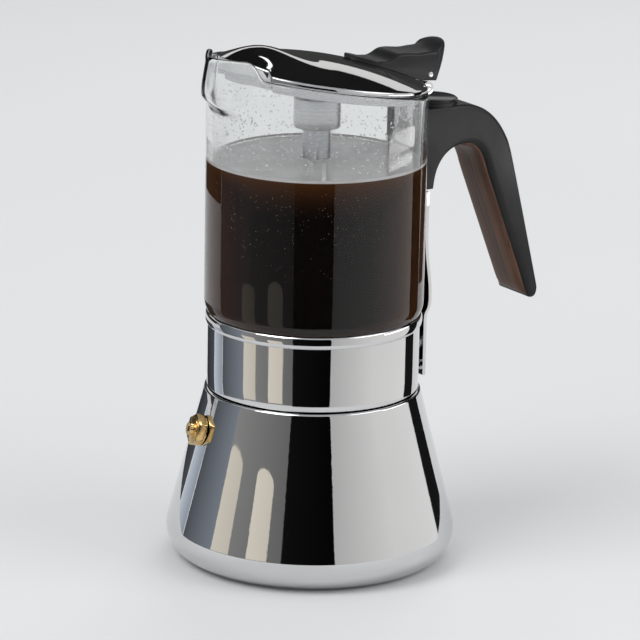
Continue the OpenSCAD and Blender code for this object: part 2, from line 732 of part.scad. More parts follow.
module lid() {
    steps = [for (i = [0:ring_steps-1]) step_turn(i)];
    points = concat(
        [[0, 0, lid_top(0, 0)]],
        [for (s = lid_rings, a = steps) let (r = s * lid_edge_r(a), p = around(a, r, 0))
            around(a, r, lid_top(p[0], p[1]) - (s == 1 ? 0.5 : 0))],
        [for (a = steps) let (r = lid_edge_r(a), p = around(a, r, 0))
            around(a, r, lid_top(p[0], p[1]) - dome_h * (1 - r * r / lid_r / lid_r) - lid_edge)],
        [for (a = steps) let (r = lid_edge_r(a), p = around(a, r, 0))
            around(a, r - lid_t, lid_top(p[0], p[1]) - dome_h * (1 - r * r / lid_r / lid_r) - lid_edge)],
        [for (k = [len(lid_rings)-2:-1:0], a = steps)
            let (r = lid_rings[k] * (lid_edge_r(a) - lid_t), p = around(a, r, 0))
            around(a, r, lid_top(p[0], p[1]) - lid_t)],
        [[0, 0, lid_top(0, 0) - lid_t]]);
    color("silver") polyhedron(
        points = [for (p = points) p],
        faces = [for (f = skin_faces(2 * len(lid_rings) + 1, ring_steps)) [f[2], f[1], f[0]]]);
}

module lid_plug() {
    n = 48;
    steps = [for (i = [0:n-1]) 360 * i / n];
    inner = plug_r - plug_t;
    function low(a) = lid_z - plug_depth + rim_fall * plug_r * cos(a);
    function high(a, r) = let (p = around(a, r, 0)) lid_top(p[0], p[1]) - lid_t - 0.15;
    reach = [for (a = steps) let (d = abs(a > 180 ? a - 360 : a)) min(plug_r, (lid_edge_r(d) - lid_t) * 0.96 - 0.1)];
    color("silver") polyhedron(
        points = concat(
            [for (i = [0:n-1]) around(steps[i], reach[i], low(steps[i]))],
            [for (i = [0:n-1]) around(steps[i], reach[i], high(steps[i], reach[i]))],
            [for (i = [0:n-1]) around(steps[i], reach[i] - plug_t, high(steps[i], reach[i] - plug_t))],
            [for (i = [0:n-1]) around(steps[i], reach[i] - plug_t, low(steps[i]))]),
        faces = loop_faces(4, n));
}

// Side view of the tongue: a strip on the dome, then the ear with its two pins
tongue_t = 1.2;
module tongue_outline() {
    over = [for (x = [tongue_start:2:tongue_end]) [x, lid_top(x, 0) + 0.03]];
    difference() {
        union() {
            polygon(concat(over,
                [[lid_r + 0.1, lid_top(lid_r, 0) + 0.05]],
                [for (i = [len(over)-1:-1:0]) over[i] + [0.2, tongue_t]]));
            polygon([[tongue_end, lid_top(tongue_end, 0) + 0.1], [lid_r + 0.1, lid_top(lid_r, 0) + 0.1],
                [lid_r + 0.35, lid_top(lid_r, 0) - 0.3], [lid_r + 0.35, lid_z - rim_fall * lid_r - 0.05],
                [hinge_x - 1.6, hinge_z + 1.8], [hinge_x + knuckle_r - 0.3, hinge_z],
                [lever_pin_x + 2, lever_pin_z], [lever_pin_x, lever_pin_z + 2],
                [tongue_end, lid_top(tongue_end, 0) + 2.5]]);
            translate([hinge_x, hinge_z]) circle(r = knuckle_r - 0.2, $fn = 48);
            translate([lever_pin_x, lever_pin_z]) circle(r = 2, $fn = 48);
        }
        translate([hinge_x, hinge_z]) circle(r = pin_r + run_gap, $fn = 48);
        translate([lever_pin_x, lever_pin_z]) circle(r = pin_r + 0.01, $fn = 48);
    }
}

module lid_tongue() {
    color("silver") across(tongue_w) tongue_outline();
}

// Side view of the thumb lever: scooped top, upright thumb rest, sole on the dome
function lever_line() = let (
        top = lid_z - rim_fall * hinge_x + thumb_rise,
        sole = [for (x = [lever_tip_x:3:hinge_x - 8]) [x, lid_top(x, 0) + 0.05]],
        blade_x = hinge_x - 24.3)
    concat(
        sole,
        [[lid_r + 0.1, lid_top(lid_r, 0) + 0.6], [hinge_x + 4.2, lever_pin_z - 2.5]],
        curve([hinge_x + 6, lever_pin_z - 1.5], [hinge_x + 8.2, lever_pin_z + 1.6],
            [hinge_x + 9.9, top - 8], [hinge_x + 10.5, top - 2.2], 5),
        curve([hinge_x + 10.4, top - 0.8], [hinge_x + 9, top + 0.6],
            [hinge_x + 6.6, top - 1.6], [hinge_x + 3.4, top - 2.8], 5),
        curve([hinge_x + 0.6, top - 3.5], [hinge_x - 4, top - 4.2],
            [hinge_x - 8, top - 3.3], [hinge_x - 11.4, top - 3.1], 4),
        curve([hinge_x - 13, top - 3.2], [hinge_x - 14.4, top - 3.4],
            [hinge_x - 15.8, top - 5], [hinge_x - 18.6, top - 5.45], 3),
        [[blade_x, lid_top(blade_x, 0) + 1.6], [lever_tip_x + 1, lid_top(lever_tip_x, 0) + 1.4],
            [lever_tip_x, lid_top(lever_tip_x, 0) + 1]]);

// Plan view of the thumb lever
module lever_plan() {
    tip_r = 4;
    half = lever_w / 2;
    polygon(concat(
        arc(lever_tip_x + tip_r, 0, tip_r, 250, 110, 10),
        [[lever_tip_x + 14, half]],
        [for (t = [90:-15:-90]) [hinge_x + 3.5 + 7.2 * cos(t), half * sin(t)]],
        [[lever_tip_x + 14, -half]]));
}

module thumb_lever() {
    slot = tongue_w + 2 * ear_gap;
    color([0.12, 0.12, 0.13]) difference() {
        intersection() {
            across(lever_w + 2) polygon(lever_line());
            translate([0, 0, hinge_z - 10]) linear_extrude(60) lever_plan();
        }
        across(slot) polygon(concat(
            [for (x = [tongue_start - 1:3:tongue_end]) [x, lid_top(x, 0) - 1]],
            [[hinge_x + 12, hinge_z - 5], [hinge_x + 12, lever_pin_z + 2.4],
                [tongue_end, lid_top(tongue_end, 0) + 2.9]],
            [for (x = [tongue_end:-3:tongue_start - 1]) [x, lid_top(x, 0) + tongue_t + 0.4]]));
        translate([lever_pin_x, 0, lever_pin_z]) rotate([90, 0, 0])
            cylinder(r = pin_r + 0.01, h = 40, center = true, $fn = 48);
    }
}

module lever_pin() {
    color("silver") translate([lever_pin_x, 0, lever_pin_z]) rotate([90, 0, 0])
        cylinder(r = pin_r, h = lever_w + 0.4, center = true, $fn = 48);
}

boiler();
base_disc();
valve_body();
valve_washer();
valve_nut();
valve_spring();
valve_pin();
funnel();
basket_sieve();
gasket();
filter_plate();
collar();
glass_seal();
glass_jug();
riser_tube();
riser_washer();
riser_nut();
nozzle_cap();
handle_strap();
strap_rivets();
handle_screws();
handle_body();
handle_cover();
wood_inlay();
hinge_bracket();
hinge_pin();
lid();
lid_plug();
lid_tongue();
thumb_lever();
lever_pin();
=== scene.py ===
"""Dresses the moka pot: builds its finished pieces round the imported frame, with finishes, studio and camera.

Sizes below are in millimetres unless a docstring says otherwise; meshes are made in metres.
"""
import json
import logging
import math
from contextlib import contextmanager
from dataclasses import dataclass
from enum import Enum
from typing import Iterable, Iterator, Mapping, NamedTuple, Sequence

import bmesh
import bpy
from mathutils import Matrix, Vector


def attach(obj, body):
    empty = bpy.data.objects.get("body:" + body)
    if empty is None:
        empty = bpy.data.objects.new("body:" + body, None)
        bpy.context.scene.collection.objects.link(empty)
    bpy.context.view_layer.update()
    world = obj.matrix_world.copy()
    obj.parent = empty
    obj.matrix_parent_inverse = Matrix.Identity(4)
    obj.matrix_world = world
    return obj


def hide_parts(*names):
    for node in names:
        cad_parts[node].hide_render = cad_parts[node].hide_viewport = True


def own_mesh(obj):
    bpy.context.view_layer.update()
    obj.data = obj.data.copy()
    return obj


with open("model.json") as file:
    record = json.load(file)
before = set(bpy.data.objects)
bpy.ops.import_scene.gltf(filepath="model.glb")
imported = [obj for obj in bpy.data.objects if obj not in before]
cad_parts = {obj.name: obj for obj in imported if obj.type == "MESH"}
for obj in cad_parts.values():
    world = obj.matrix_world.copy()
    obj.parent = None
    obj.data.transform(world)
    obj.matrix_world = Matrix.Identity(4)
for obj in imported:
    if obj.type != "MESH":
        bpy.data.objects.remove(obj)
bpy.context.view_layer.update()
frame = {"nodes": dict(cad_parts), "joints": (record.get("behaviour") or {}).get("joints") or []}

LOG = logging.getLogger("moka_pot")
MM = 0.001
COFFEE_Z = 152.5  # height of the coffee's surface
Point = tuple[float, float]
Spot = tuple[float, float, float]
Mesh = bpy.types.Mesh
Piece = bpy.types.Object
Material = bpy.types.Material
Socket = bpy.types.NodeSocket
Sockets = Mapping[str, Socket]


# ---------------------------------------------------------------- geometry helpers

def polar(r: float, degrees: float) -> Point:
    """Point at a radius and an angle."""
    turn = math.radians(degrees)
    return (r * math.cos(turn), r * math.sin(turn))


def arc(cx: float, cy: float, r: float, start: float, end: float, n: int) -> list[Point]:
    """Points of an arc.

    Args:
        cx, cy: Centre.
        r: Radius.
        start, end: First and last angle in degrees.
        n: Number of steps.

    Returns:
        n + 1 points.
    """
    spokes = [polar(r, start + (end - start) * i / n) for i in range(n + 1)]
    return [(cx + x, cy + y) for x, y in spokes]


def curve(a: Point, b: Point, c: Point, d: Point, n: int) -> list[Point]:
    """Points of a cubic curve.

    Args:
        a, d: Ends.
        b, c: Handles.
        n: Number of steps.

    Returns:
        n + 1 points.
    """
    points = []
    for i in range(n + 1):
        t = i / n
        u = 1 - t
        weights = (u * u * u, 3 * u * u * t, 3 * u * t * t, t * t * t)
        points.append(tuple(sum(w * p[k] for w, p in zip(weights, (a, b, c, d))) for k in (0, 1)))
    return points


def smooth(x: float) -> float:
    """Smooth step from 0 to 1."""
    t = min(1.0, max(0.0, x))
    return t * t * (3 - 2 * t)


def inset(outline: Sequence[Point], distances: Sequence[float]) -> list[Point]:
    """Moves a closed outline inward, with mitred corners.

    Args:
        outline: Points in anticlockwise order.
        distances: How far to move each point.

    Returns:
        The moved points.
    """
    moved = []
    for i, (x, y) in enumerate(outline):
        before, after = outline[i - 1], outline[(i + 1) % len(outline)]
        u = Vector((x - before[0], y - before[1])).normalized()
        v = Vector((after[0] - x, after[1] - y)).normalized()
        a, b = Vector((-u.y, u.x)), Vector((-v.y, v.x))
        step = (a + b) * (distances[i] / (1 + a.dot(b)))
        moved.append((x + step.x, y + step.y))
    return moved


def new_object(name: str, mesh: Mesh) -> Piece:
    """Puts a mesh in the scene as an object at the origin."""
    piece = bpy.data.objects.new(name, mesh)
    bpy.context.scene.collection.objects.link(piece)
    return piece


def shade(mesh: Mesh, sharp_degrees: float) -> None:
    """Shades a mesh smooth, except across edges sharper than the angle."""
    mesh.shade_smooth()
    mesh.set_sharp_from_angle(angle=math.radians(sharp_degrees))


@contextmanager
def edited(mesh: Mesh) -> Iterator[bmesh.types.BMesh]:
    """Opens a mesh for editing and writes it back."""
    work = bmesh.new()
    work.from_mesh(mesh)
    yield work
    work.to_mesh(mesh)
    work.free()


def baked(piece: Piece) -> Mesh:
    """Applies an object's modifiers and returns its plain mesh."""
    graph = bpy.context.evaluated_depsgraph_get()
    mesh = bpy.data.meshes.new_from_object(piece.evaluated_get(graph), depsgraph=graph)
    piece.modifiers.clear()
    piece.data = mesh
    return mesh


def skin(name: str, spots: Iterable[Spot], faces: Iterable[Sequence[int]], sharp: float = 32,
         outward: bool = True) -> Piece:
    """Makes an object with a clean mesh from points in millimetres.

    Args:
        name: Name of the object.
        spots: Points.
        faces: Index lists.
        sharp: Angle in degrees over which an edge stays sharp.
        outward: Whether normals are turned outward.

    Returns:
        The object, its mesh in metres.
    """
    mesh = bpy.data.meshes.new(name)
    mesh.from_pydata([tuple(c * MM for c in spot) for spot in spots], [], [tuple(f) for f in faces])
    with edited(mesh) as work:
        bmesh.ops.remove_doubles(work, verts=work.verts, dist=1e-7)
        bmesh.ops.dissolve_degenerate(work, edges=work.edges, dist=1e-8)
        if outward:
            bmesh.ops.recalc_face_normals(work, faces=work.faces)
    shade(mesh, sharp)
    return new_object(name, mesh)


def loft(name: str, rings: Sequence[Sequence[Spot]], closed: bool = False, sharp: float = 32) -> Piece:
    """Joins rings of points into a skin.

    Args:
        name: Name of the object.
        rings: Rings with equal numbers of points.
        closed: True if the last ring joins the first; otherwise both end rings are capped.
        sharp: Angle over which an edge stays sharp.

    Returns:
        The object.
    """
    n = len(rings[0])
    faces: list[list[int]] = []
    for k in range(len(rings) if closed else len(rings) - 1):
        a, b = k * n, ((k + 1) % len(rings)) * n
        faces += [[a + i, b + i, b + (i + 1) % n, a + (i + 1) % n] for i in range(n)]
    if not closed:
        faces += [list(range(n))[::-1], [(len(rings) - 1) * n + i for i in range(n)]]
    return skin(name, [s for ring in rings for s in ring], faces, sharp)


def revolve(name: str, profile: Sequence[Point], closed: bool = False, steps: int = 192) -> Piece:
    """Turns a profile about Z.

    Args:
        name: Name of the object.
        profile: Points of radius and height.
        closed: True if the profile is a closed outline away from the axis.
        steps: Steps round the axis.

    Returns:
        The object.
    """
    turns = [2 * math.pi * i / steps for i in range(steps)]
    rings = [[(max(r, 0) * math.cos(t), max(r, 0) * math.sin(t), z) for t in turns] for r, z in profile]
    return loft(name, rings, closed)


def shifted(piece: Piece, x: float, z: float) -> Piece:
    """Moves an object's mesh and leaves the object at the origin."""
    piece.data.transform(Matrix.Translation((x * MM, 0, z * MM)))
    piece.data.update()
    return piece


def slab(name: str, outline: Sequence[Point], rolls: Sequence[float], width: float,
         depth: float = 0.9) -> Piece:
    """A side view given a width along Y, with rolled edges.

    Args:
        name: Name of the object.
        outline: Closed outline of X and Z.
        rolls: Width of the rolled edge at each point.
        width: Width of the slab.
        depth: Depth of the rolled edge as a share of its width.

    Returns:
        The object.
    """
    rings = []
    for side in (-1, 1):
        turns = [math.radians(10 * i) for i in range(10)]
        for w in (reversed(turns) if side < 0 else turns):
            moved = inset(outline, [e * (1 - math.cos(w)) * depth for e in rolls])
            rings.append([(x, side * (width / 2 - e * (1 - math.sin(w))), z)
                          for (x, z), e in zip(moved, rolls)])
    return loft(name, rings)


def carved(piece: Piece, *cutters: Piece) -> Piece:
    """Cuts closed meshes out of an object and removes them.

    Args:
        piece: The object to cut.
        cutters: Closed meshes that are taken away from it.

    Returns:
        The cut object.
    """
    for cutter in cutters:
        modifier = piece.modifiers.new("cut", "BOOLEAN")
        modifier.operation = "DIFFERENCE"
        modifier.solver = "EXACT"
        modifier.object = cutter
    mesh = baked(piece)
    for cutter in cutters:
        bpy.data.objects.remove(cutter)
    with edited(mesh) as work:
        bmesh.ops.dissolve_degenerate(work, edges=work.edges, dist=1e-7)
    shade(mesh, 32)
    return piece


def joined(name: str, *parts: Piece) -> Piece:
    """Joins objects that sit at the origin into one.

    Args:
        name: Name of the result.
        parts: Objects to join; they are removed.

    Returns:
        The joined object.
    """
    mesh = bpy.data.meshes.new(name)
    with edited(mesh) as work:
        for part in parts:
            work.from_mesh(part.data)
            bpy.data.objects.remove(part)
    shade(mesh, 32)
    return new_object(name, mesh)


def softened(node: str, name: str, width: float, angle: float = 40) -> Piece:
    """Copies a CAD node as a merged mesh with rolled edges, to stand for it.

    Args:
        node: The CAD node.
        name: Name of the new piece.
        width: Width of the rolled edge.
        angle: Only edges sharper than this are rolled.

    Returns:
        The new object.
    """
    mesh = frame["nodes"][node].data.copy()
    mesh.name = name
    with edited(mesh) as work:
        bmesh.ops.remove_doubles(work, verts=work.verts, dist=2e-6)
        bmesh.ops.dissolve_limit(work, angle_limit=math.radians(0.6), verts=work.verts, edges=work.edges)
        limit = math.radians(angle)
        edges = [e for e in work.edges if len(e.link_faces) == 2 and e.calc_face_angle(0) > limit]
        bmesh.ops.bevel(work, geom=edges, offset=width * MM, segments=3, profile=0.5, affect="EDGES",
                        clamp_overlap=True)
        bmesh.ops.dissolve_degenerate(work, dist=5e-7, edges=work.edges)
        bmesh.ops.triangulate(work, faces=[f for f in work.faces if len(f.verts) > 4])
    mesh.materials.clear()
    shade(mesh, 28)
    piece = new_object(name, mesh)
    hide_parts(node)
    return piece


# ---------------------------------------------------------------- node trees

class Tree:
    """Adds and joins the nodes of one node tree."""

    def __init__(self, tree: bpy.types.NodeTree) -> None:
        """Keeps the tree."""
        self.tree = tree

    def plug(self, target: Socket, value: object) -> None:
        """Links a socket to another, or sets its value; a tuple of three is a colour."""
        if isinstance(value, bpy.types.NodeSocket):
            self.tree.links.new(value, target)
        else:
            target.default_value = (*value, 1) if target.type == "RGBA" else value

    def add(self, kind: str, *firsts: object, **named: object) -> bpy.types.Node:
        """Adds a node.

        Args:
            kind: Node type.
            firsts: Sockets or values for its first inputs.
            named: Attributes, and sockets or values for the inputs whose names start with a capital.

        Returns:
            The node.
        """
        node = self.tree.nodes.new(kind)
        for key, value in named.items():
            if key[0].isupper():
                self.plug(node.inputs[key.replace("_", " ")], value)
            else:
                setattr(node, key, value)
        for socket, value in zip(node.inputs, firsts):
            self.plug(socket, value)
        return node

    def out(self, kind: str, *firsts: object, **named: object) -> Socket:
        """Adds a node and returns its first output."""
        return self.add(kind, *firsts, **named).outputs[0]

    def noise(self, vector: Socket, scale: object = 1, detail: float = 3, rough: float = 0.5,
              stretch: Spot | None = None, turn: Spot = (0, 0, 0)) -> Socket:
        """Adds a noise pattern.

        Args:
            vector: Coordinates.
            scale: Scale of the noise, a number or a socket.
            detail: Octaves.
            rough: Roughness of the octaves.
            stretch: Scale along each axis, or None.
            turn: Turn of the pattern in degrees.

        Returns:
            The noise value.
        """
        if stretch is not None:
            radians = [math.radians(t) for t in turn]
            vector = self.out("ShaderNodeMapping", Vector=vector, Rotation=radians, Scale=stretch)
        return self.out("ShaderNodeTexNoise", Vector=vector, Scale=scale, Detail=detail, Roughness=rough)

    def spread(self, value: Socket, low: float, high: float, start: object = 0, end: object = 1) -> Socket:
        """Maps a value's range.

        Args:
            value: Input value.
            low, high: Inputs that give start and end.
            start, end: Ends of the output, as numbers or sockets.

        Returns:
            The mapped value.
        """
        return self.out("ShaderNodeMapRange", Value=value, From_Min=low, From_Max=high, To_Min=start,
                        To_Max=end)

    def maths(self, kind: str, a: object, b: object) -> Socket:
        """Adds a Math node; each side is a socket or a number."""
        return self.out("ShaderNodeMath", a, b, operation=kind)

    def product(self, first: Socket, *others: object) -> Socket:
        """Multiplies sockets and numbers from left to right."""
        for other in others:
            first = self.maths("MULTIPLY", first, other)
        return first

    def blend(self, factor: Socket, a: object, b: object) -> Socket:
        """Adds a colour mix; each side is a socket or a colour."""
        node = self.add("ShaderNodeMix", factor, data_type="RGBA")
        self.plug(node.inputs[6], a)
        self.plug(node.inputs[7], b)
        return node.outputs[2]

    def bump(self, height: Socket, strength: object, distance: float, **normal: Socket) -> Socket:
        """Turns a height into normals, over others if they are given."""
        return self.out("ShaderNodeBump", Height=height, Strength=strength, Distance=distance, **normal)


class Effect(Enum):
    """Surface effects that finishes share: each group's name, its inputs and their usual values."""

    SMUDGE = ("smudge", {"Scale": 30, "Low": 0.03, "High": 0.1})
    SCRATCH = ("fine_scratch", {"Hair": 0.02, "Wave": 0.05})
    MOULD = ("moulded_grain", {"Scale": 2200, "Depth": 0.15, "Low": 0.3, "High": 0.5})
    BRUSH = ("brushed_lines", {"Density": 1, "Depth": 0.1, "Low": 0.18, "High": 0.34})
    GRAIN = ("wood_grain", {"Turn": 0.369})
    TARNISH = ("tarnish", {"Scale": 160, "Amount": 0.5})


class EffectShop:
    """Builds each shared shader group once.

    A method with the group's name gets its tree, its inputs and the object coordinates, adds the nodes, and
    returns the outputs by name.
    """

    def __init__(self) -> None:
        """Starts with no groups."""
        self.made: dict[Effect, bpy.types.NodeTree] = {}

    def get(self, effect: Effect) -> bpy.types.NodeTree:
        """Gets the group of an effect, building it on first use.

        Args:
            effect: The effect.

        Returns:
            Its group.
        """
        if effect in self.made:
            return self.made[effect]
        name, usual = effect.value
        group = bpy.data.node_groups.new(name, "ShaderNodeTree")
        for label, value in usual.items():
            socket = group.interface.new_socket(name=label, in_out="INPUT", socket_type="NodeSocketFloat")
            socket.default_value = value
        tree = Tree(group)
        source = tree.add("NodeGroupInput").outputs
        place = tree.add("ShaderNodeTexCoord").outputs["Object"]
        results = getattr(self, name)(tree, source, place)
        for label in results:
            kind = "NodeSocketVector" if label == "Normal" else "NodeSocketFloat"
            group.interface.new_socket(name=label, in_out="OUTPUT", socket_type=kind)
        tree.add("NodeGroupOutput", **results)
        self.made[effect] = group
        return group

    def smudge(self, tree: Tree, source: Sockets, place: Socket) -> Sockets:
        """Cloudy roughness between two values."""
        cloud = tree.noise(place, source["Scale"], 5, 0.6)
        return {"Roughness": tree.spread(cloud, 0.35, 0.72, source["Low"], source["High"])}

    def fine_scratch(self, tree: Tree, source: Sockets, place: Socket) -> Sockets:
        """Hairline scratches in several directions, and the long waves of drawn sheet."""
        turns = ((0, 0, 20), (30, 10, 75), (70, 40, 130))
        hairs = tree.product(*[tree.noise(place, 1, 2, 0.5, (2600, 2600, 60), turn) for turn in turns])
        fine = tree.bump(hairs, source["Hair"], 0.00002)
        wave = tree.noise(place, 14, 1.5, 0.4, (1, 1, 0.5))
        return {"Normal": tree.bump(wave, source["Wave"], 0.002, Normal=fine)}

    def moulded_grain(self, tree: Tree, source: Sockets, place: Socket) -> Sockets:
        """Fine pebbled skin of moulded plastic, with slight polish where hands rub."""
        cells = tree.add("ShaderNodeTexVoronoi", Vector=place, Scale=source["Scale"]).outputs["Distance"]
        return {"Normal": tree.bump(cells, source["Depth"], 0.00006),
                "Roughness": tree.spread(tree.noise(place, 45), 0.35, 0.7, source["Low"], source["High"])}

    def brushed_lines(self, tree: Tree, source: Sockets, place: Socket) -> Sockets:
        """Fine lines that run level round a turned or brushed part."""
        scaled = tree.out("ShaderNodeVectorMath", place, operation="SCALE", Scale=source["Density"])
        lines = tree.noise(scaled, 1, 3, 0.6, (12, 12, 2600))
        return {"Normal": tree.bump(lines, source["Depth"], 0.00005),
                "Roughness": tree.spread(lines, 0.3, 0.7, source["Low"], source["High"])}

    def wood_grain(self, tree: Tree, source: Sockets, place: Socket) -> Sockets:
        """Long grain with pores; Z of the turned coordinates runs along the grain."""
        along = tree.out("ShaderNodeVectorRotate", rotation_type="Y_AXIS", Vector=place,
                         Angle=source["Turn"])
        bend = tree.maths("SUBTRACT", tree.noise(along, 1, 2, 0.5, (60, 60, 14)), 0.5)
        band = tree.product(tree.noise(along, 1, 4, 0.62, (520, 520, 20)), 0.55)
        broad = tree.product(tree.noise(along, 1, 2, 0.5, (150, 150, 9)), 0.45)
        mixed = tree.maths("ADD", tree.maths("ADD", band, broad), tree.product(bend, 0.25))
        pores = tree.spread(tree.noise(along, 1, 2, 0.5, (3400, 3400, 130)), 0.6, 0.72)
        return {"Band": mixed, "Pore": pores,
                "Normal": tree.bump(tree.maths("SUBTRACT", mixed, pores), 0.35, 0.0001)}

    def tarnish(self, tree: Tree, source: Sockets, place: Socket) -> Sockets:
        """Patchy mask of handled or heated metal."""
        cloud = tree.noise(place, source["Scale"], 6, 0.65)
        return {"Mask": tree.spread(cloud, 0.42, 0.68, 0, source["Amount"])}


SHOP = EffectShop()


class Shader(Tree):
    """One material in the making."""

    def __init__(self, name: str) -> None:
        """Makes an empty material with one Principled shader."""
        self.material = bpy.data.materials.new(name)
        self.material.use_nodes = True
        super().__init__(self.material.node_tree)
        self.main = self.tree.nodes["Principled BSDF"]
        self.place = self.add("ShaderNodeTexCoord").outputs["Object"]

    def set(self, **values: object) -> None:
        """Sets or links sockets of the main shader; an underscore in a name is a space."""
        for key, value in values.items():
            self.plug(self.main.inputs[key.replace("_", " ")], value)

    def effect(self, effect: Effect, **values: float) -> Sockets:
        """Places a shared group with its own values and returns its outputs."""
        return self.add("ShaderNodeGroup", node_tree=SHOP.get(effect), **values).outputs

    def cover(self, effect: Effect, **values: float) -> None:
        """Feeds the main shader with every output of a shared group."""
        self.set(**{socket.name: socket for socket in self.effect(effect, **values)})

    def axes(self) -> Sockets:
        """Separate object coordinates."""
        return self.add("ShaderNodeSeparateXYZ", self.place).outputs


# ---------------------------------------------------------------- finishes

@dataclass(frozen=True)
class Finish:
    """A solid finish whose colour has patches of a second one."""

    name: str
    colour: Spot
    patch: Spot
    patch_scale: float
    patch_amount: float

    def surface(self, shader: Shader) -> None:
        """Gives the shader its roughness and normals."""
        raise NotImplementedError

    def make(self) -> Material:
        """Returns the material."""
        shader = Shader(self.name)
        self.surface(shader)
        mask = shader.effect(Effect.TARNISH, Scale=self.patch_scale, Amount=self.patch_amount)["Mask"]
        shader.set(Base_Color=shader.blend(mask, self.colour, self.patch))
        return shader.material


@dataclass(frozen=True)
class PolishedSteel(Finish):
    """Mirror-polished stainless steel."""

    name: str = "polished_steel"
    colour: Spot = (0.70, 0.70, 0.705)
    patch: Spot = (0.56, 0.56, 0.564)
    patch_scale: float = 35
    patch_amount: float = 0.12

    def surface(self, shader: Shader) -> None:
        """A mirror with faint smudges, hairlines and waves."""
        shader.set(Metallic=1.0)
        shader.cover(Effect.SMUDGE, Scale=22, Low=0.015, High=0.06)
        shader.cover(Effect.SCRATCH, Hair=0.25, Wave=0.05)


@dataclass(frozen=True)
class BrushedMetal(Finish):
    """Metal with fine level lines: satin steel, unless told otherwise."""

    name: str = "satin_steel"
    colour: Spot = (0.62, 0.62, 0.63)
    patch: Spot = (0.4464, 0.4464, 0.4536)
    patch_scale: float = 90
    patch_amount: float = 0.12
    low: float = 0.16
    high: float = 0.34
    density: float = 1.0

    def surface(self, shader: Shader) -> None:
        """Fine lines over bare metal."""
        shader.set(Metallic=1.0)
        shader.cover(Effect.BRUSH, Density=self.density, Depth=0.12, Low=self.low, High=self.high)


@dataclass(frozen=True)
class MouldedPlastic(Finish):
    """Moulded black plastic, matte or glossy."""

    name: str = "moulded_black"
    colour: Spot = (0.008, 0.008, 0.009)
    patch: Spot = (0.015, 0.0145, 0.0145)
    patch_scale: float = 70
    patch_amount: float = 0.8
    low: float = 0.3
    high: float = 0.46
    depth: float = 0.22

    def surface(self, shader: Shader) -> None:
        """A pebbled skin."""
        shader.set(Specular_IOR_Level=0.32)
        shader.cover(Effect.MOULD, Scale=2400, Depth=self.depth, Low=self.low, High=self.high)


@dataclass(frozen=True)
class SiliconeRubber(Finish):
    """Off-white silicone, stained in patches."""

    name: str = "silicone"
    colour: Spot = (0.78, 0.76, 0.70)
    patch: Spot = (0.55, 0.47, 0.36)
    patch_scale: float = 60
    patch_amount: float = 0.4

    def surface(self, shader: Shader) -> None:
        """A dull skin that lets a little light in."""
        shader.set(Subsurface_Weight=0.1)
        shader.cover(Effect.MOULD, Scale=1500, Depth=0.1, Low=0.45, High=0.6)


@dataclass(frozen=True)
class DarkWalnut:
    """Oiled walnut, grain along the grip."""

    dark: Spot = (0.040, 0.018, 0.011)
    light: Spot = (0.165, 0.080, 0.046)
    pore: Spot = (0.018, 0.0081, 0.00495)
    turn: float = 0.369

    def make(self) -> Material:
        """Returns the material."""
        shader = Shader("dark_walnut")
        grain = shader.effect(Effect.GRAIN, Turn=self.turn)
        base = shader.blend(shader.spread(grain["Band"], 0.36, 0.62), self.dark, self.light)
        shader.set(Base_Color=shader.blend(grain["Pore"], base, self.pore), Normal=grain["Normal"],
                   Roughness=shader.spread(grain["Band"], 0.3, 0.7, 0.38, 0.6), Specular_IOR_Level=0.25)
        return shader.material


@dataclass(frozen=True)
class SteamedGlass:
    """Borosilicate glass, misted above the coffee and faintly wavy."""

    tint: Spot = (0.975, 0.985, 0.98)
    mist_z: float = COFFEE_Z - 2.5
    fade: float = 4.0

    def make(self) -> Material:
        """Returns the material."""
        shader = Shader("steamed_glass")
        above = shader.spread(shader.axes()["Z"], self.mist_z * MM, (self.mist_z + self.fade) * MM)
        cloud = shader.spread(shader.noise(shader.place, 60, 4, 0.6), 0.45, 0.75, 0, 0.16)
        smear = shader.bump(shader.noise(shader.place, 25, 2, 0.4), 0.05, 0.0004)
        shader.set(Transmission_Weight=1.0, IOR=1.45, Metallic=0.0, Base_Color=self.tint,
                   Roughness=shader.product(above, cloud), Normal=smear)
        return shader.material


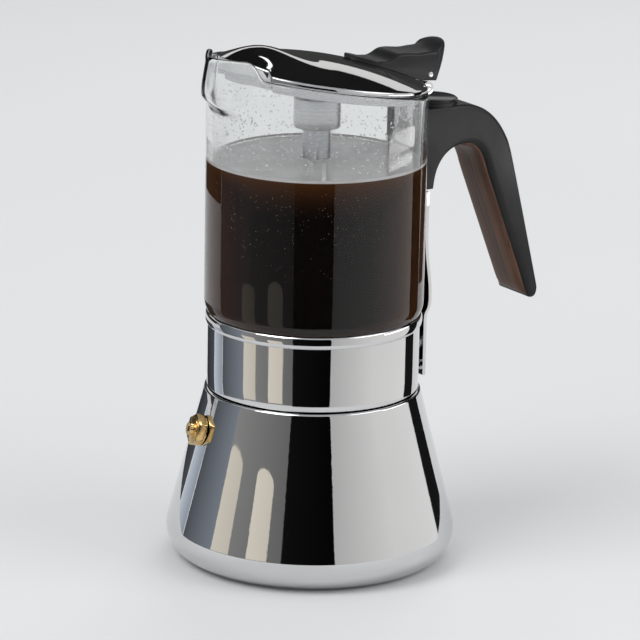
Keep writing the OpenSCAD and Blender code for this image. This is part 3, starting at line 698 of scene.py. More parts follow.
@dataclass(frozen=True)
class BlackCoffee:
    """Strong coffee with bubbles on the glass; the amber glow at its edges and under its top, and its
    near-white top, are painted light.
    """

    colour: Spot = (0.0035, 0.0016, 0.0012)
    # Painted glow: the colour of light shining through thin coffee, painted on because the coffee is opaque.
    painted_amber_glow: Spot = (0.11, 0.038, 0.010)
    # Near-white top: a painted reflection of the bright room on the coffee's surface.
    surface: Spot = (0.93, 0.905, 0.89)
    bubble: Spot = (0.5, 0.42, 0.36)
    level: float = COFFEE_Z

    def painted_glow_mask(self, shader: Shader, high: Socket) -> Socket:
        """Masks a painted glow of light shining through the coffee: a band just under the surface, and the
        edges as seen from the camera.

        Args:
            shader: The material in the making.
            high: Object coordinate along Z.

        Returns:
            The mask.
        """
        top_glow_band = shader.spread(high, (self.level - 17) * MM, (self.level + 0.4) * MM)
        facing = shader.add("ShaderNodeLayerWeight", Blend=0.5).outputs["Facing"]
        return shader.maths("MAXIMUM", shader.product(shader.maths("POWER", top_glow_band, 2.5), 0.9),
                            shader.spread(facing, 0.1, 0.27, 0, 0.6))

    def bubbles(self, shader: Shader, high: Socket, across: Socket) -> Socket:
        """Masks bubbles in a band under the surface, more of them toward the spout.

        Args:
            shader: The material in the making.
            high, across: Object coordinates along Z and X.

        Returns:
            The mask.
        """
        cells = shader.add("ShaderNodeTexVoronoi", Vector=shader.place, Scale=1000, Randomness=1.0).outputs
        chosen = shader.out("ShaderNodeSeparateColor", cells["Color"])
        dots = shader.product(shader.spread(cells["Distance"], 0.2, 0.1), shader.spread(chosen, 0.3, 0.8),
                              shader.spread(across, 30 * MM, -36 * MM, 0.25, 1))
        band = shader.product(shader.spread(high, (self.level - 42) * MM, (self.level - 20) * MM),
                              shader.spread(high, (self.level - 1) * MM, (self.level - 7) * MM))
        patch = shader.spread(shader.noise(shader.place, 110, 3, 0.6), 0.42, 0.6)
        return shader.product(dots, shader.product(band, patch))

    def make(self) -> Material:
        """Returns the material."""
        shader = Shader("black_coffee")
        place = shader.axes()
        # Painted glow of light through the coffee, mixed into its colour.
        depth = shader.blend(self.painted_glow_mask(shader, place["Z"]), self.colour, self.painted_amber_glow)
        depth = shader.blend(self.bubbles(shader, place["Z"], place["X"]), depth, self.bubble)
        # Painted reflection: the top face turns near white, with faint clouding.
        top = shader.spread(place["Z"], (self.level - 0.3) * MM, (self.level - 0.1) * MM)
        cloud = shader.spread(shader.noise(shader.place, 90, 4, 0.6), 0.3, 0.7, 0.82, 1.0)
        shader.set(Base_Color=shader.blend(shader.product(top, cloud), depth, self.surface), IOR=1.34,
                   Roughness=0.05, Specular_IOR_Level=shader.spread(top, 0, 1, 0.06, 0.5))
        return shader.material


class Look(NamedTuple):
    """A material and the record's slot that it belongs to."""

    material: Material
    slot: str


class Finishes:
    """All looks of the pot, each made once."""

    def __init__(self) -> None:
        """Builds every finish."""
        self.polished = Look(PolishedSteel().make(), "polished_steel")
        self.satin = Look(BrushedMetal().make(), "steel")
        self.plate = Look(BrushedMetal("tumbled_aluminium", (0.68, 0.69, 0.70), (0.4896, 0.4968, 0.504),
                                       low=0.26, high=0.42, density=0.6).make(), "aluminium")
        self.brass = Look(BrushedMetal("turned_brass", (0.83, 0.58, 0.25), (0.42, 0.24, 0.08), 240, 0.45,
                                       0.08, 0.2, 1.3).make(), "brass")
        self.black = Look(MouldedPlastic().make(), "black_plastic")
        self.gloss = Look(MouldedPlastic("gloss_black", (0.01, 0.01, 0.011), (0.014, 0.014, 0.014),
                                         low=0.1, high=0.2, depth=0.03).make(), "gloss_black")
        self.walnut = Look(DarkWalnut().make(), "walnut")
        self.silicone = Look(SiliconeRubber().make(), "silicone")
        self.glass = Look(SteamedGlass().make(), "glass")
        self.coffee = Look(BlackCoffee().make(), "glass")


class Body(Enum):
    """The CAD bodies that pieces ride on."""

    BOILER = "boiler"
    PISTON = "valve_piston"
    CARRIER = "gasket_carrier"
    JUG = "jug"
    LID = "lid"


def dress(piece: Piece, look: Look, body: Body, *nodes: str) -> None:
    """Gives a finished piece its material and body.

    Args:
        piece: The object.
        look: Its material and slot.
        body: The body it rides on.
        nodes: CAD nodes that it replaces, unless it does already.
    """
    piece.data.materials.clear()
    piece.data.materials.append(look.material)
    if nodes:
        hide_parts(*nodes)
    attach(piece, body.value)
    LOG.info("%s on %s", piece.name, body.value)


def dress_copies(body: Body, *rows: tuple) -> None:
    """Dresses rolled copies of CAD nodes; each row holds a look and what softened() takes."""
    for look, *copy in rows:
        dress(softened(*copy), look, body)


# ---------------------------------------------------------------- geometry node trees

KINDS = {float: "NodeSocketFloat", Piece: "NodeSocketObject", Material: "NodeSocketMaterial"}


class Repeat(Tree):
    """A Geometry Nodes tree that repeats a shape and is baked to a plain mesh."""

    def __init__(self, name: str, material: Material, **values: object) -> None:
        """Starts a tree.

        Args:
            name: Name of the tree.
            material: Finish of what it makes.
            values: Values of its other inputs, by their names.
        """
        super().__init__(bpy.data.node_groups.new(name, "GeometryNodeTree"))
        self.values = {"Material": material, **values}
        face = self.tree.interface
        face.new_socket(name="Geometry", in_out="OUTPUT", socket_type="NodeSocketGeometry")
        for label, value in self.values.items():
            face.new_socket(name=label, in_out="INPUT", socket_type=KINDS[type(value)])
        self.source = self.add("NodeGroupInput").outputs

    def bake(self, name: str, geometry: Socket) -> Piece:
        """Realizes and paints what repeats, and keeps it as a plain mesh.

        Args:
            name: Name of the object.
            geometry: What the tree has made.

        Returns:
            The object, without modifiers.
        """
        real = self.out("GeometryNodeRealizeInstances", geometry)
        paint = self.out("GeometryNodeSetMaterial", Geometry=real, Material=self.source["Material"])
        self.add("NodeGroupOutput", Geometry=paint)
        piece = new_object(name, bpy.data.meshes.new(name))
        modifier = piece.modifiers.new("repeat", "NODES")
        modifier.node_group = self.tree
        for item in self.tree.interface.items_tree:
            if item.in_out == "INPUT":
                modifier[item.identifier] = self.values[item.name]
        baked(piece).name = name
        return piece


def sieve(name: str, radius: float, reach: float, material: Material, thickness: float = 0.8,
          hole: float = 0.7, pitch: float = 3.6) -> Piece:
    """A round plate with a hexagonal field of holes, its underside at Z 0.

    Args:
        name: Name of the object.
        radius, thickness: Size of the plate.
        reach: Radius within which there are holes.
        material: Finish.
        hole: Hole radius.
        pitch: Distance between holes.

    Returns:
        The plate.
    """
    tree = Repeat("perforated_plate", material, Radius=radius * MM, Thickness=thickness * MM,
                  Hole=hole * MM, Pitch=pitch * MM, Reach=reach * MM)
    source, gaps = tree.source, 30
    plate = tree.out("GeometryNodeMeshCylinder", Vertices=128, Radius=source["Radius"],
                     Depth=source["Thickness"])
    grid = tree.out("GeometryNodeMeshGrid", Vertices_X=gaps + 1, Vertices_Y=gaps + 1,
                    Size_X=tree.product(source["Pitch"], gaps),
                    Size_Y=tree.product(source["Pitch"], gaps * math.sqrt(0.75)))
    points = tree.out("GeometryNodeMeshToPoints", Mesh=grid)
    odd_row = tree.maths("MODULO", tree.out("GeometryNodeInputIndex"), 2.0)
    offset = tree.out("ShaderNodeCombineXYZ", tree.product(odd_row, tree.product(source["Pitch"], 0.5)))
    move = tree.out("GeometryNodeSetPosition", Geometry=points, Offset=offset)
    where = tree.out("GeometryNodeInputPosition")
    length = tree.add("ShaderNodeVectorMath", where, operation="LENGTH").outputs["Value"]
    outside = tree.out("FunctionNodeCompare", length, source["Reach"], data_type="FLOAT",
                       operation="GREATER_THAN")
    drop = tree.out("GeometryNodeDeleteGeometry", Geometry=move, Selection=outside)
    drill = tree.out("GeometryNodeMeshCylinder", Vertices=12, Radius=source["Hole"],
                     Depth=tree.product(source["Thickness"], 3.0))
    copies = tree.out("GeometryNodeInstanceOnPoints", Points=drop, Instance=drill)
    drills = tree.out("GeometryNodeRealizeInstances", copies)
    cut = tree.out("GeometryNodeMeshBoolean", operation="DIFFERENCE", Mesh_1=plate, Mesh_2=drills)
    piece = tree.bake(name, cut)
    piece.data.set_sharp_from_angle(angle=math.radians(30))
    return shifted(piece, 0, thickness / 2)


def thread(name: str, radius: float, height: float, material: Material, pitch: float = 4.0,
           depth: float = 0.32) -> Piece:
    """A rolled thread: a rounded ridge that winds up a neck.

    Args:
        name: Name of the object.
        radius: Radius of the neck.
        height: Height that the thread takes up.
        material: Finish.
        pitch: Rise of one turn.
        depth: Radius of the ridge.

    Returns:
        The ridge, its lower end at Z 0.
    """
    tree = Repeat("rolled_thread", material, Radius=radius * MM, Turns=height / pitch, Height=height * MM,
                  Depth=depth * MM)
    source = tree.source
    spiral = tree.out("GeometryNodeCurveSpiral", Resolution=72, Rotations=source["Turns"],
                      Start_Radius=source["Radius"], End_Radius=source["Radius"], Height=source["Height"])
    ridge = tree.out("GeometryNodeCurvePrimitiveCircle", Resolution=10, Radius=source["Depth"])
    sweep = tree.out("GeometryNodeCurveToMesh", Curve=spiral, Profile_Curve=ridge, Fill_Caps=True)
    return tree.bake(name, sweep)


def beads(name: str, wall: Piece, count: float, size: float, material: Material) -> Piece:
    """Beads of water that sit on a wall.

    Args:
        name: Name of the object.
        wall: Mesh whose faces carry the beads; it is removed.
        count: Beads for each square centimetre.
        size: Largest bead radius.
        material: Finish.

    Returns:
        The beads.
    """
    tree = Repeat("water_beads", material, Wall=wall, Density=count * 1e4, Size=size * MM)
    source = tree.source
    surface = tree.add("GeometryNodeObjectInfo", Object=source["Wall"]).outputs["Geometry"]
    spots = tree.add("GeometryNodeDistributePointsOnFaces", Mesh=surface, Density=source["Density"],
                     Seed=7).outputs
    bead = tree.out("GeometryNodeMeshIcoSphere", Subdivisions=2, Radius=source["Size"])
    vary = tree.add("FunctionNodeRandomValue", data_type="FLOAT", Seed=11)
    for index, limit in ((2, 0.35), (3, 1.0)):
        vary.inputs[index].default_value = limit
    flat = tree.out("ShaderNodeCombineXYZ", *[tree.product(vary.outputs[1], f) for f in (1.0, 1.0, 0.45)])
    copies = tree.out("GeometryNodeInstanceOnPoints", Points=spots["Points"], Rotation=spots["Rotation"],
                      Instance=bead, Scale=flat)
    piece = tree.bake(name, copies)
    bpy.data.objects.remove(wall)
    piece.data.shade_smooth()
    return piece


# ---------------------------------------------------------------- the pot's own pieces

@dataclass
class Boiler:
    """Drawn steel boiler with its neck thread, funnel and perforated plate."""

    widest: float = 54.3
    top_r: float = 40.4
    height: float = 65.7
    base_round: float = 11.0
    wall: float = 1.2
    floor: float = 3.0
    top_round: float = 1.2
    neck_r: float = 36.2
    neck_wall: float = 1.7
    neck_h: float = 11.7
    neck_roll: float = 0.6
    thread_h: float = 8.0
    thread_rise: float = 1.8
    basket_depth: float = 25.0
    holes_r: float = 29.5
    cone_h: float = 8.0
    funnel_wall: float = 0.8
    stem_r: float = 4.6

    def __post_init__(self) -> None:
        """Works out the slope of the wall."""
        self.centre = self.widest - self.base_round
        rise, run = self.height - self.base_round, self.top_r - self.centre
        self.slope = math.atan2(rise, run) - math.acos(self.base_round / math.hypot(run, rise))
        self.offset = self.top_r * math.cos(self.slope) + self.height * math.sin(self.slope)
        self.neck_top = self.height + self.neck_h
        self.neck_in = self.neck_r - self.neck_wall

    def wall_r(self, z: float, depth: float = 0) -> float:
        """Radius of the wall at a height, at a depth under its outer face."""
        return (self.offset - depth - z * math.sin(self.slope)) / math.cos(self.slope)

    def profile(self) -> list[Point]:
        """Shell, from the middle of its underside round to the middle of its floor."""
        slope = math.degrees(self.slope)
        edge_z = self.height - self.top_round
        inner = self.base_round - self.wall
        inner_floor = -math.degrees(math.asin((self.base_round - self.floor) / inner))
        under_z = self.height - self.wall
        roll = self.neck_roll
        return [
            (0, 0), (self.centre - 3, 0), *arc(self.centre, self.base_round, self.base_round, -90, slope, 40),
            *[(self.wall_r(z), z) for z in (20, 30, 40, 50, 58, 62)],
            *arc(self.wall_r(edge_z, self.top_round), edge_z, self.top_round, slope, 90, 10),
            (self.neck_r + 0.4, self.height), (self.neck_r, self.height + 0.4),
            *arc(self.neck_r - roll, self.neck_top - roll, roll, 0, 90, 5),
            (self.neck_in, self.neck_top), (self.neck_in, under_z),
            (self.wall_r(under_z, self.wall), under_z),
            *arc(self.centre, self.base_round, inner, slope, inner_floor, 20), (0, self.floor)]

    def build(self, looks: Finishes) -> None:
        """Makes the shell, its thread and the insert for the ground coffee."""
        shell = revolve("boiler_shell", self.profile(), steps=256)
        dress(shell, looks.polished, Body.BOILER, "boiler", "base_disc")
        ridge = thread("neck_thread", self.neck_r - 0.05, self.thread_h, looks.satin.material)
        shade(shifted(ridge, 0, self.height + self.thread_rise).data, 60)
        # The thread is part of the boiler, so its look names the boiler's slot, which dress() does not use.
        dress(ridge, looks.satin._replace(slot="polished_steel"), Body.BOILER)
        self.build_funnel(looks)

    def build_funnel(self, looks: Finishes) -> None:
        """Makes the funnel and the perforated plate at its bottom."""
        flange_top = self.neck_top + 1
        outer = self.neck_in - 0.3
        inner, bore = outer - self.funnel_wall, self.stem_r - self.funnel_wall
        basket = flange_top - self.basket_depth
        under, foot = basket - self.funnel_wall, self.floor + 4
        profile = [
            (self.neck_r - 0.3, self.neck_top), *arc(self.neck_r - 0.8, flange_top - 0.5, 0.5, 0, 90, 4),
            *arc(inner + 1, flange_top - 1, 1, 90, 180, 4), (inner, basket), (inner - 2, basket),
            (bore, basket - self.cone_h), (bore, foot), (self.stem_r, foot),
            (self.stem_r, basket - self.cone_h - 0.6), (inner - 1.2, under), (outer, under),
            (outer, self.neck_top)]
        funnel = revolve("coffee_funnel", profile, closed=True, steps=128)
        dress(funnel, looks.plate, Body.BOILER, "funnel")
        plate = sieve("funnel_sieve", inner - 0.05, self.holes_r, looks.plate.material)
        dress(shifted(plate, 0, basket + 0.02), looks.plate, Body.BOILER, "basket_sieve")


@dataclass
class Valve:
    """Brass safety valve through the boiler's wall."""

    coil_r: float = 2.1
    wire_r: float = 0.25
    coils: int = 5

    def build(self, looks: Finishes) -> None:
        """Rolls the edges of the valve's pieces and dresses them."""
        dress_copies(Body.BOILER, (looks.brass, "valve_body", "valve_brass_body", 0.16),
                     (looks.brass, "valve_nut", "valve_inner_nut", 0.25),
                     (looks.silicone, "valve_washer", "valve_seal", 0.2))
        dress_copies(Body.PISTON, (looks.satin, "valve_pin", "valve_piston", 0.15))
        self.build_spring(looks)

    def build_spring(self, looks: Finishes) -> None:
        """Winds the coil about the piston's shaft."""
        push = next(j for j in frame["joints"] if j["child"] == Body.PISTON.value)
        out = Vector(push["axis"]).normalized()
        side = out.orthogonal().normalized()
        up = out.cross(side)
        washer = [v.co for v in frame["nodes"]["valve_washer"].data.vertices]
        middle = sum(washer, Vector()) / len(washer)
        reach = [v.co.dot(out) for v in frame["nodes"]["valve_spring"].data.vertices]
        low, high = min(reach), max(reach)
        foot = (middle - out * middle.dot(out)) / MM
        steps, sides, wire = self.coils * 32, 10, self.wire_r
        ring = [2 * math.pi * i / sides for i in range(sides)]
        rings = []
        for k in range(steps + 1):
            turn = 2 * math.pi * self.coils * k / steps
            spoke = side * math.cos(turn) + up * math.sin(turn)
            rise = low / MM + wire + ((high - low) / MM - 2 * wire) * k / steps
            rings.append([tuple(foot + spoke * (self.coil_r + wire * math.cos(w))
                                + out * (rise + wire * math.sin(w))) for w in ring])
        coil = loft("valve_coil", rings, sharp=50)
        dress(coil, looks.satin, Body.BOILER, "valve_spring")
        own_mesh(coil)


@dataclass
class JugForm:
    """Sizes and formulas that the glass and the lid share; angles count from the spout."""

    glass_r: float = 41.0
    wall: float = 2.5
    corner: float = 10.0
    glass_z: float = 89.6
    rim_z: float = 183.3
    rim_fall: float = 0.15
    spout_out: float = 8.3
    spout_half: float = 28.0
    lip_rise: float = 4.4
    spout_h: float = 23.0
    lid_r: float = 40.5
    dome_h: float = 6.2
    lid_edge: float = 1.5
    lid_gap: float = 0.4
    nose_rise: float = 4.5
    nose_half: float = 15.0
    nose_out: float = 2.2
    notch_in: float = 3.0
    steps: int = 288

    def __post_init__(self) -> None:
        """Works out the lip's height, the middle of the floor's round corner, and the angles of a ring."""
        self.lip_z = self.rim_z + self.rim_fall * (self.glass_r + self.spout_out) + self.lip_rise
        self.corner_r, self.corner_z = self.glass_r - self.corner, self.glass_z + self.corner
        level = [360 * i / self.steps - 180 for i in range(self.steps)]
        self.turns = [u - 0.5 * math.sin(math.radians(u)) * 180 / math.pi for u in level]

    def spout_share(self, a: float) -> float:
        """How much of the spout there is at an angle."""
        soft = 4
        s = (math.hypot(a, soft) - soft) / (math.hypot(self.spout_half, soft) - soft)
        return 0.0 if s >= 1 else (1 - s) ** 1.6

    def spout_level(self, z: float) -> float:
        """How much of the spout there is at a height."""
        low = smooth((z - (self.lip_z - self.spout_h)) / (self.spout_h * 0.42))
        return low * (1 - 0.26 * smooth((z - self.lip_z + 13) / 13))

    def glass_out(self, a: float, z: float) -> float:
        """Outer radius of the glass."""
        return self.glass_r + self.spout_out * self.spout_share(abs(a)) * self.spout_level(z)

    def rim_at(self, a: float) -> float:
        """Height of the glass rim."""
        w = 1 - smooth((abs(a) - self.spout_half * 0.68) / (self.spout_half * 0.32))
        plain = self.rim_z + self.rim_fall * self.glass_r * math.cos(math.radians(a))
        return plain * (1 - w) + self.lip_z * w

    def around(self, a: float, r: float, z: float) -> Spot:
        """Place at an angle."""
        x, y = polar(r, a)
        return (-x, y, z)

    def level_ring(self, r: float, z: float) -> list[Spot]:
        """Ring at one radius and height."""
        return [self.around(a, r, z) for a in self.turns]

    def lid_edge_r(self, a: float) -> float:
        """Edge radius of the lid."""
        notch = 1 - smooth((abs(a) - self.spout_half) / 5)
        nose = 1 - smooth((abs(a) - 7) / 9)
        return self.lid_r - self.notch_in * notch + self.nose_out * nose * notch

    def lid_plane(self, x: float) -> float:
        """Height of the slanted plane that the lid's edge rests in."""
        return self.rim_z + self.lid_gap - self.rim_fall * x

    def lid_top(self, x: float, y: float) -> float:
        """Height of the lid's upper surface."""
        side = y / self.nose_half
        along = smooth((-x - 6) / 20) * (1 - 0.45 * smooth((-x - 28) / 12))
        dome = self.dome_h * (1 - (x * x + y * y) / self.lid_r ** 2)
        nose = self.nose_rise * math.exp(-side * side) * along
        return self.rim_z + self.lid_gap + self.lid_edge - self.rim_fall * x + dome + nose


@dataclass
class Jug:
    """Glass jug, its steel collar, the riser and the coffee."""

    form: JugForm
    collar_r: float = 39.7
    bore_r: float = 36.7
    press_r: float = 30.5
    collar_z: float = 66.2
    collar_top: float = 90.2
    bead_out: float = 0.9
    bead_h: float = 4.5
    press_z: float = 82.9
    deck_z: float = 86.3
    deck_top: float = 87.6
    riser_r: float = 5.2
    coffee_level: float = COFFEE_Z
    cap_r: float = 8.75
    cap_top: float = 176.8
    cap_h: float = 11.7
    cap_wall: float = 1.1
    filter_r: float = 33.5
    filter_z: float = 82.0
    drop_r: float = 0.42
    drop_count: int = 18

    def build_collar(self, looks: Finishes) -> None:
        """Turns the steel collar with the cup that holds the glass."""
        form = self.form
        cup = form.corner + 0.1
        rim = math.degrees(math.asin((self.collar_top + self.bead_h - form.corner_z) / cup))
        bead = [(self.collar_r + self.bead_out * x, self.collar_top + self.bead_h / 2 * (1 + y))
                for x, y in (polar(1, t) for t in range(-90, 76, 5))]
        hole, lead, roll = self.riser_r + 0.1, 0.6, 0.5
        profile = [
            (self.bore_r + lead, self.collar_z),
            *arc(self.collar_r - roll, self.collar_z + roll, roll, -90, 0, 5),
            (self.collar_r, self.collar_z + 6), (self.collar_r, self.collar_top - 1.5), *bead,
            *arc(form.corner_r, form.corner_z, cup, rim, -72, 24),
            (form.corner_r + cup * math.cos(math.radians(72)), self.deck_top), (hole, self.deck_top),
            (hole, self.deck_z), (self.press_r, self.deck_z), (self.press_r, self.press_z),
            (self.bore_r, self.press_z), (self.bore_r, self.collar_z + lead)]
        collar = revolve("steel_collar", profile, closed=True, steps=256)
        dress(collar, looks.polished, Body.JUG, "collar")

    def build_glass(self, looks: Finishes) -> None:
        """Lofts the glass with its slanted rim and pouring lip."""
        form = self.form
        middle, half = form.corner_z, form.wall / 2
        hole, bevel = self.riser_r + 0.3, 0.3
        bottom, floor = form.glass_z, form.glass_z + form.wall
        rise = [0, 0.15, 0.3, 0.45, 0.6, 0.7] + [0.74 + 0.26 * i / 26 for i in range(27)]

        def wall_ring(share: float, depth: float) -> list[Spot]:
            """Ring at a share of the wall's height, at a depth under its outer face."""
            heights = [middle + (form.rim_at(a) - half - middle) * share for a in form.turns]
            return [form.around(a, form.glass_out(a, z) - depth, z) for a, z in zip(form.turns, heights)]

        def rim_ring(reach: float, lift: float) -> list[Spot]:
            """Ring of the rounded rim, about the middle of its roll."""
            heights = [form.rim_at(a) - half for a in form.turns]
            return [form.around(a, form.glass_out(a, z) - half + reach, z + lift)
                    for a, z in zip(form.turns, heights)]

        outside = [(hole, bottom + bevel), (hole + bevel, bottom),
                   *arc(form.corner_r, middle, form.corner, -90, -6, 14)]
        inside = [*arc(form.corner_r, middle, form.corner - form.wall, -6, -90, 12),
                  (hole + bevel, floor), (hole, floor - bevel)]
        rings = [form.level_ring(*spot) for spot in outside]
        rings += [wall_ring(share, 0) for share in rise]
        rings += [rim_ring(*polar(half, w)) for w in (30, 60, 90, 120, 150)]
        rings += [wall_ring(share, form.wall) for share in reversed(rise)]
        rings += [form.level_ring(*spot) for spot in inside]
        dress(loft("jug_glass", rings, closed=True, sharp=50), looks.glass, Body.JUG, "glass_jug")

    def build_coffee(self, looks: Finishes) -> None:
        """Fills the jug with coffee that wets the glass."""
        form, wet = self.form, 0.04
        inner = form.glass_r - form.wall + wet
        floor = form.glass_z + form.wall - wet
        level, riser = self.coffee_level, self.riser_r
        profile = [(riser - wet, floor), (form.corner_r, floor)]
        profile += arc(form.corner_r, form.corner_z, form.corner - form.wall + wet, -90, 0, 14)[1:]
        profile += [(inner, level + 0.9), (inner - 0.35, level + 0.35), (inner - 1.0, level + 0.08),
                    (inner - 2.2, level), (riser + 1.4, level), (riser + 0.4, level + 0.2),
                    (riser - wet, level + 0.7)]
        dress(revolve("coffee", profile, closed=True), looks.coffee, Body.JUG)

    def build_riser(self, looks: Finishes) -> None:
        """Turns the cap, and dresses the column and its fixings."""
        soft, hub = 1.2, 3.65
        top, wall = self.cap_top, self.cap_wall
        low, inner, under = top - self.cap_h, self.cap_r - wall, top - wall
        profile = [
            (0, under - 3.5), (hub, under - 3.5), (hub, under), (inner, under), (inner, low + 0.2),
            *arc(self.cap_r - wall / 2, low + 0.3, wall / 2, 180, 360, 6),
            *arc(self.cap_r - soft, top - soft, soft, 0, 90, 10), (self.cap_r - 3, top), (0, top)]
        dress(revolve("fountain_cap", profile, steps=96), looks.satin, Body.JUG, "nozzle_cap")
        dress_copies(Body.JUG, (looks.satin, "riser_tube", "riser_column", 0.25),
                     (looks.satin, "riser_nut", "riser_lower_nut", 0.3),
                     (looks.silicone, "riser_washer", "riser_seal", 0.2),
                     (looks.silicone, "glass_seal", "glass_cushion_ring", 0.3))

    def build_filter(self, looks: Finishes) -> None:
        """Dresses the gasket and drills the filter plate."""
        dress_copies(Body.CARRIER, (looks.silicone, "gasket", "jug_gasket", 0.4))
        plate = sieve("filter_disc", self.filter_r, self.filter_r - 6.5, looks.plate.material)
        dress(shifted(plate, 0, self.filter_z), looks.plate, Body.CARRIER, "filter_plate")

    def build_drops(self, looks: Finishes) -> None:
        """Beads of steam water on the inside of the glass above the coffee."""
        form, n, bands = self.form, 60, 5
        r = form.glass_r - form.wall + 0.02
        spots = [form.around(360 / n * i, r, self.coffee_level + 3 + band * 4.2)
                 for band in range(bands + 1) for i in reversed(range(n))]
        faces = [[k * n + i, k * n + (i + 1) % n, (k + 1) * n + (i + 1) % n, (k + 1) * n + i]
                 for k in range(bands) for i in range(n)]
        wall = skin("drop_wall", spots, faces, outward=False)
        water = beads("steam_beads", wall, self.drop_count, self.drop_r, looks.glass.material)
        dress(water, looks.glass, Body.JUG)

    def build(self, looks: Finishes) -> None:
        """Makes every piece of the jug."""
        self.build_collar(looks)
        self.build_glass(looks)
        self.build_coffee(looks)
        self.build_riser(looks)
        self.build_filter(looks)
        self.build_drops(looks)


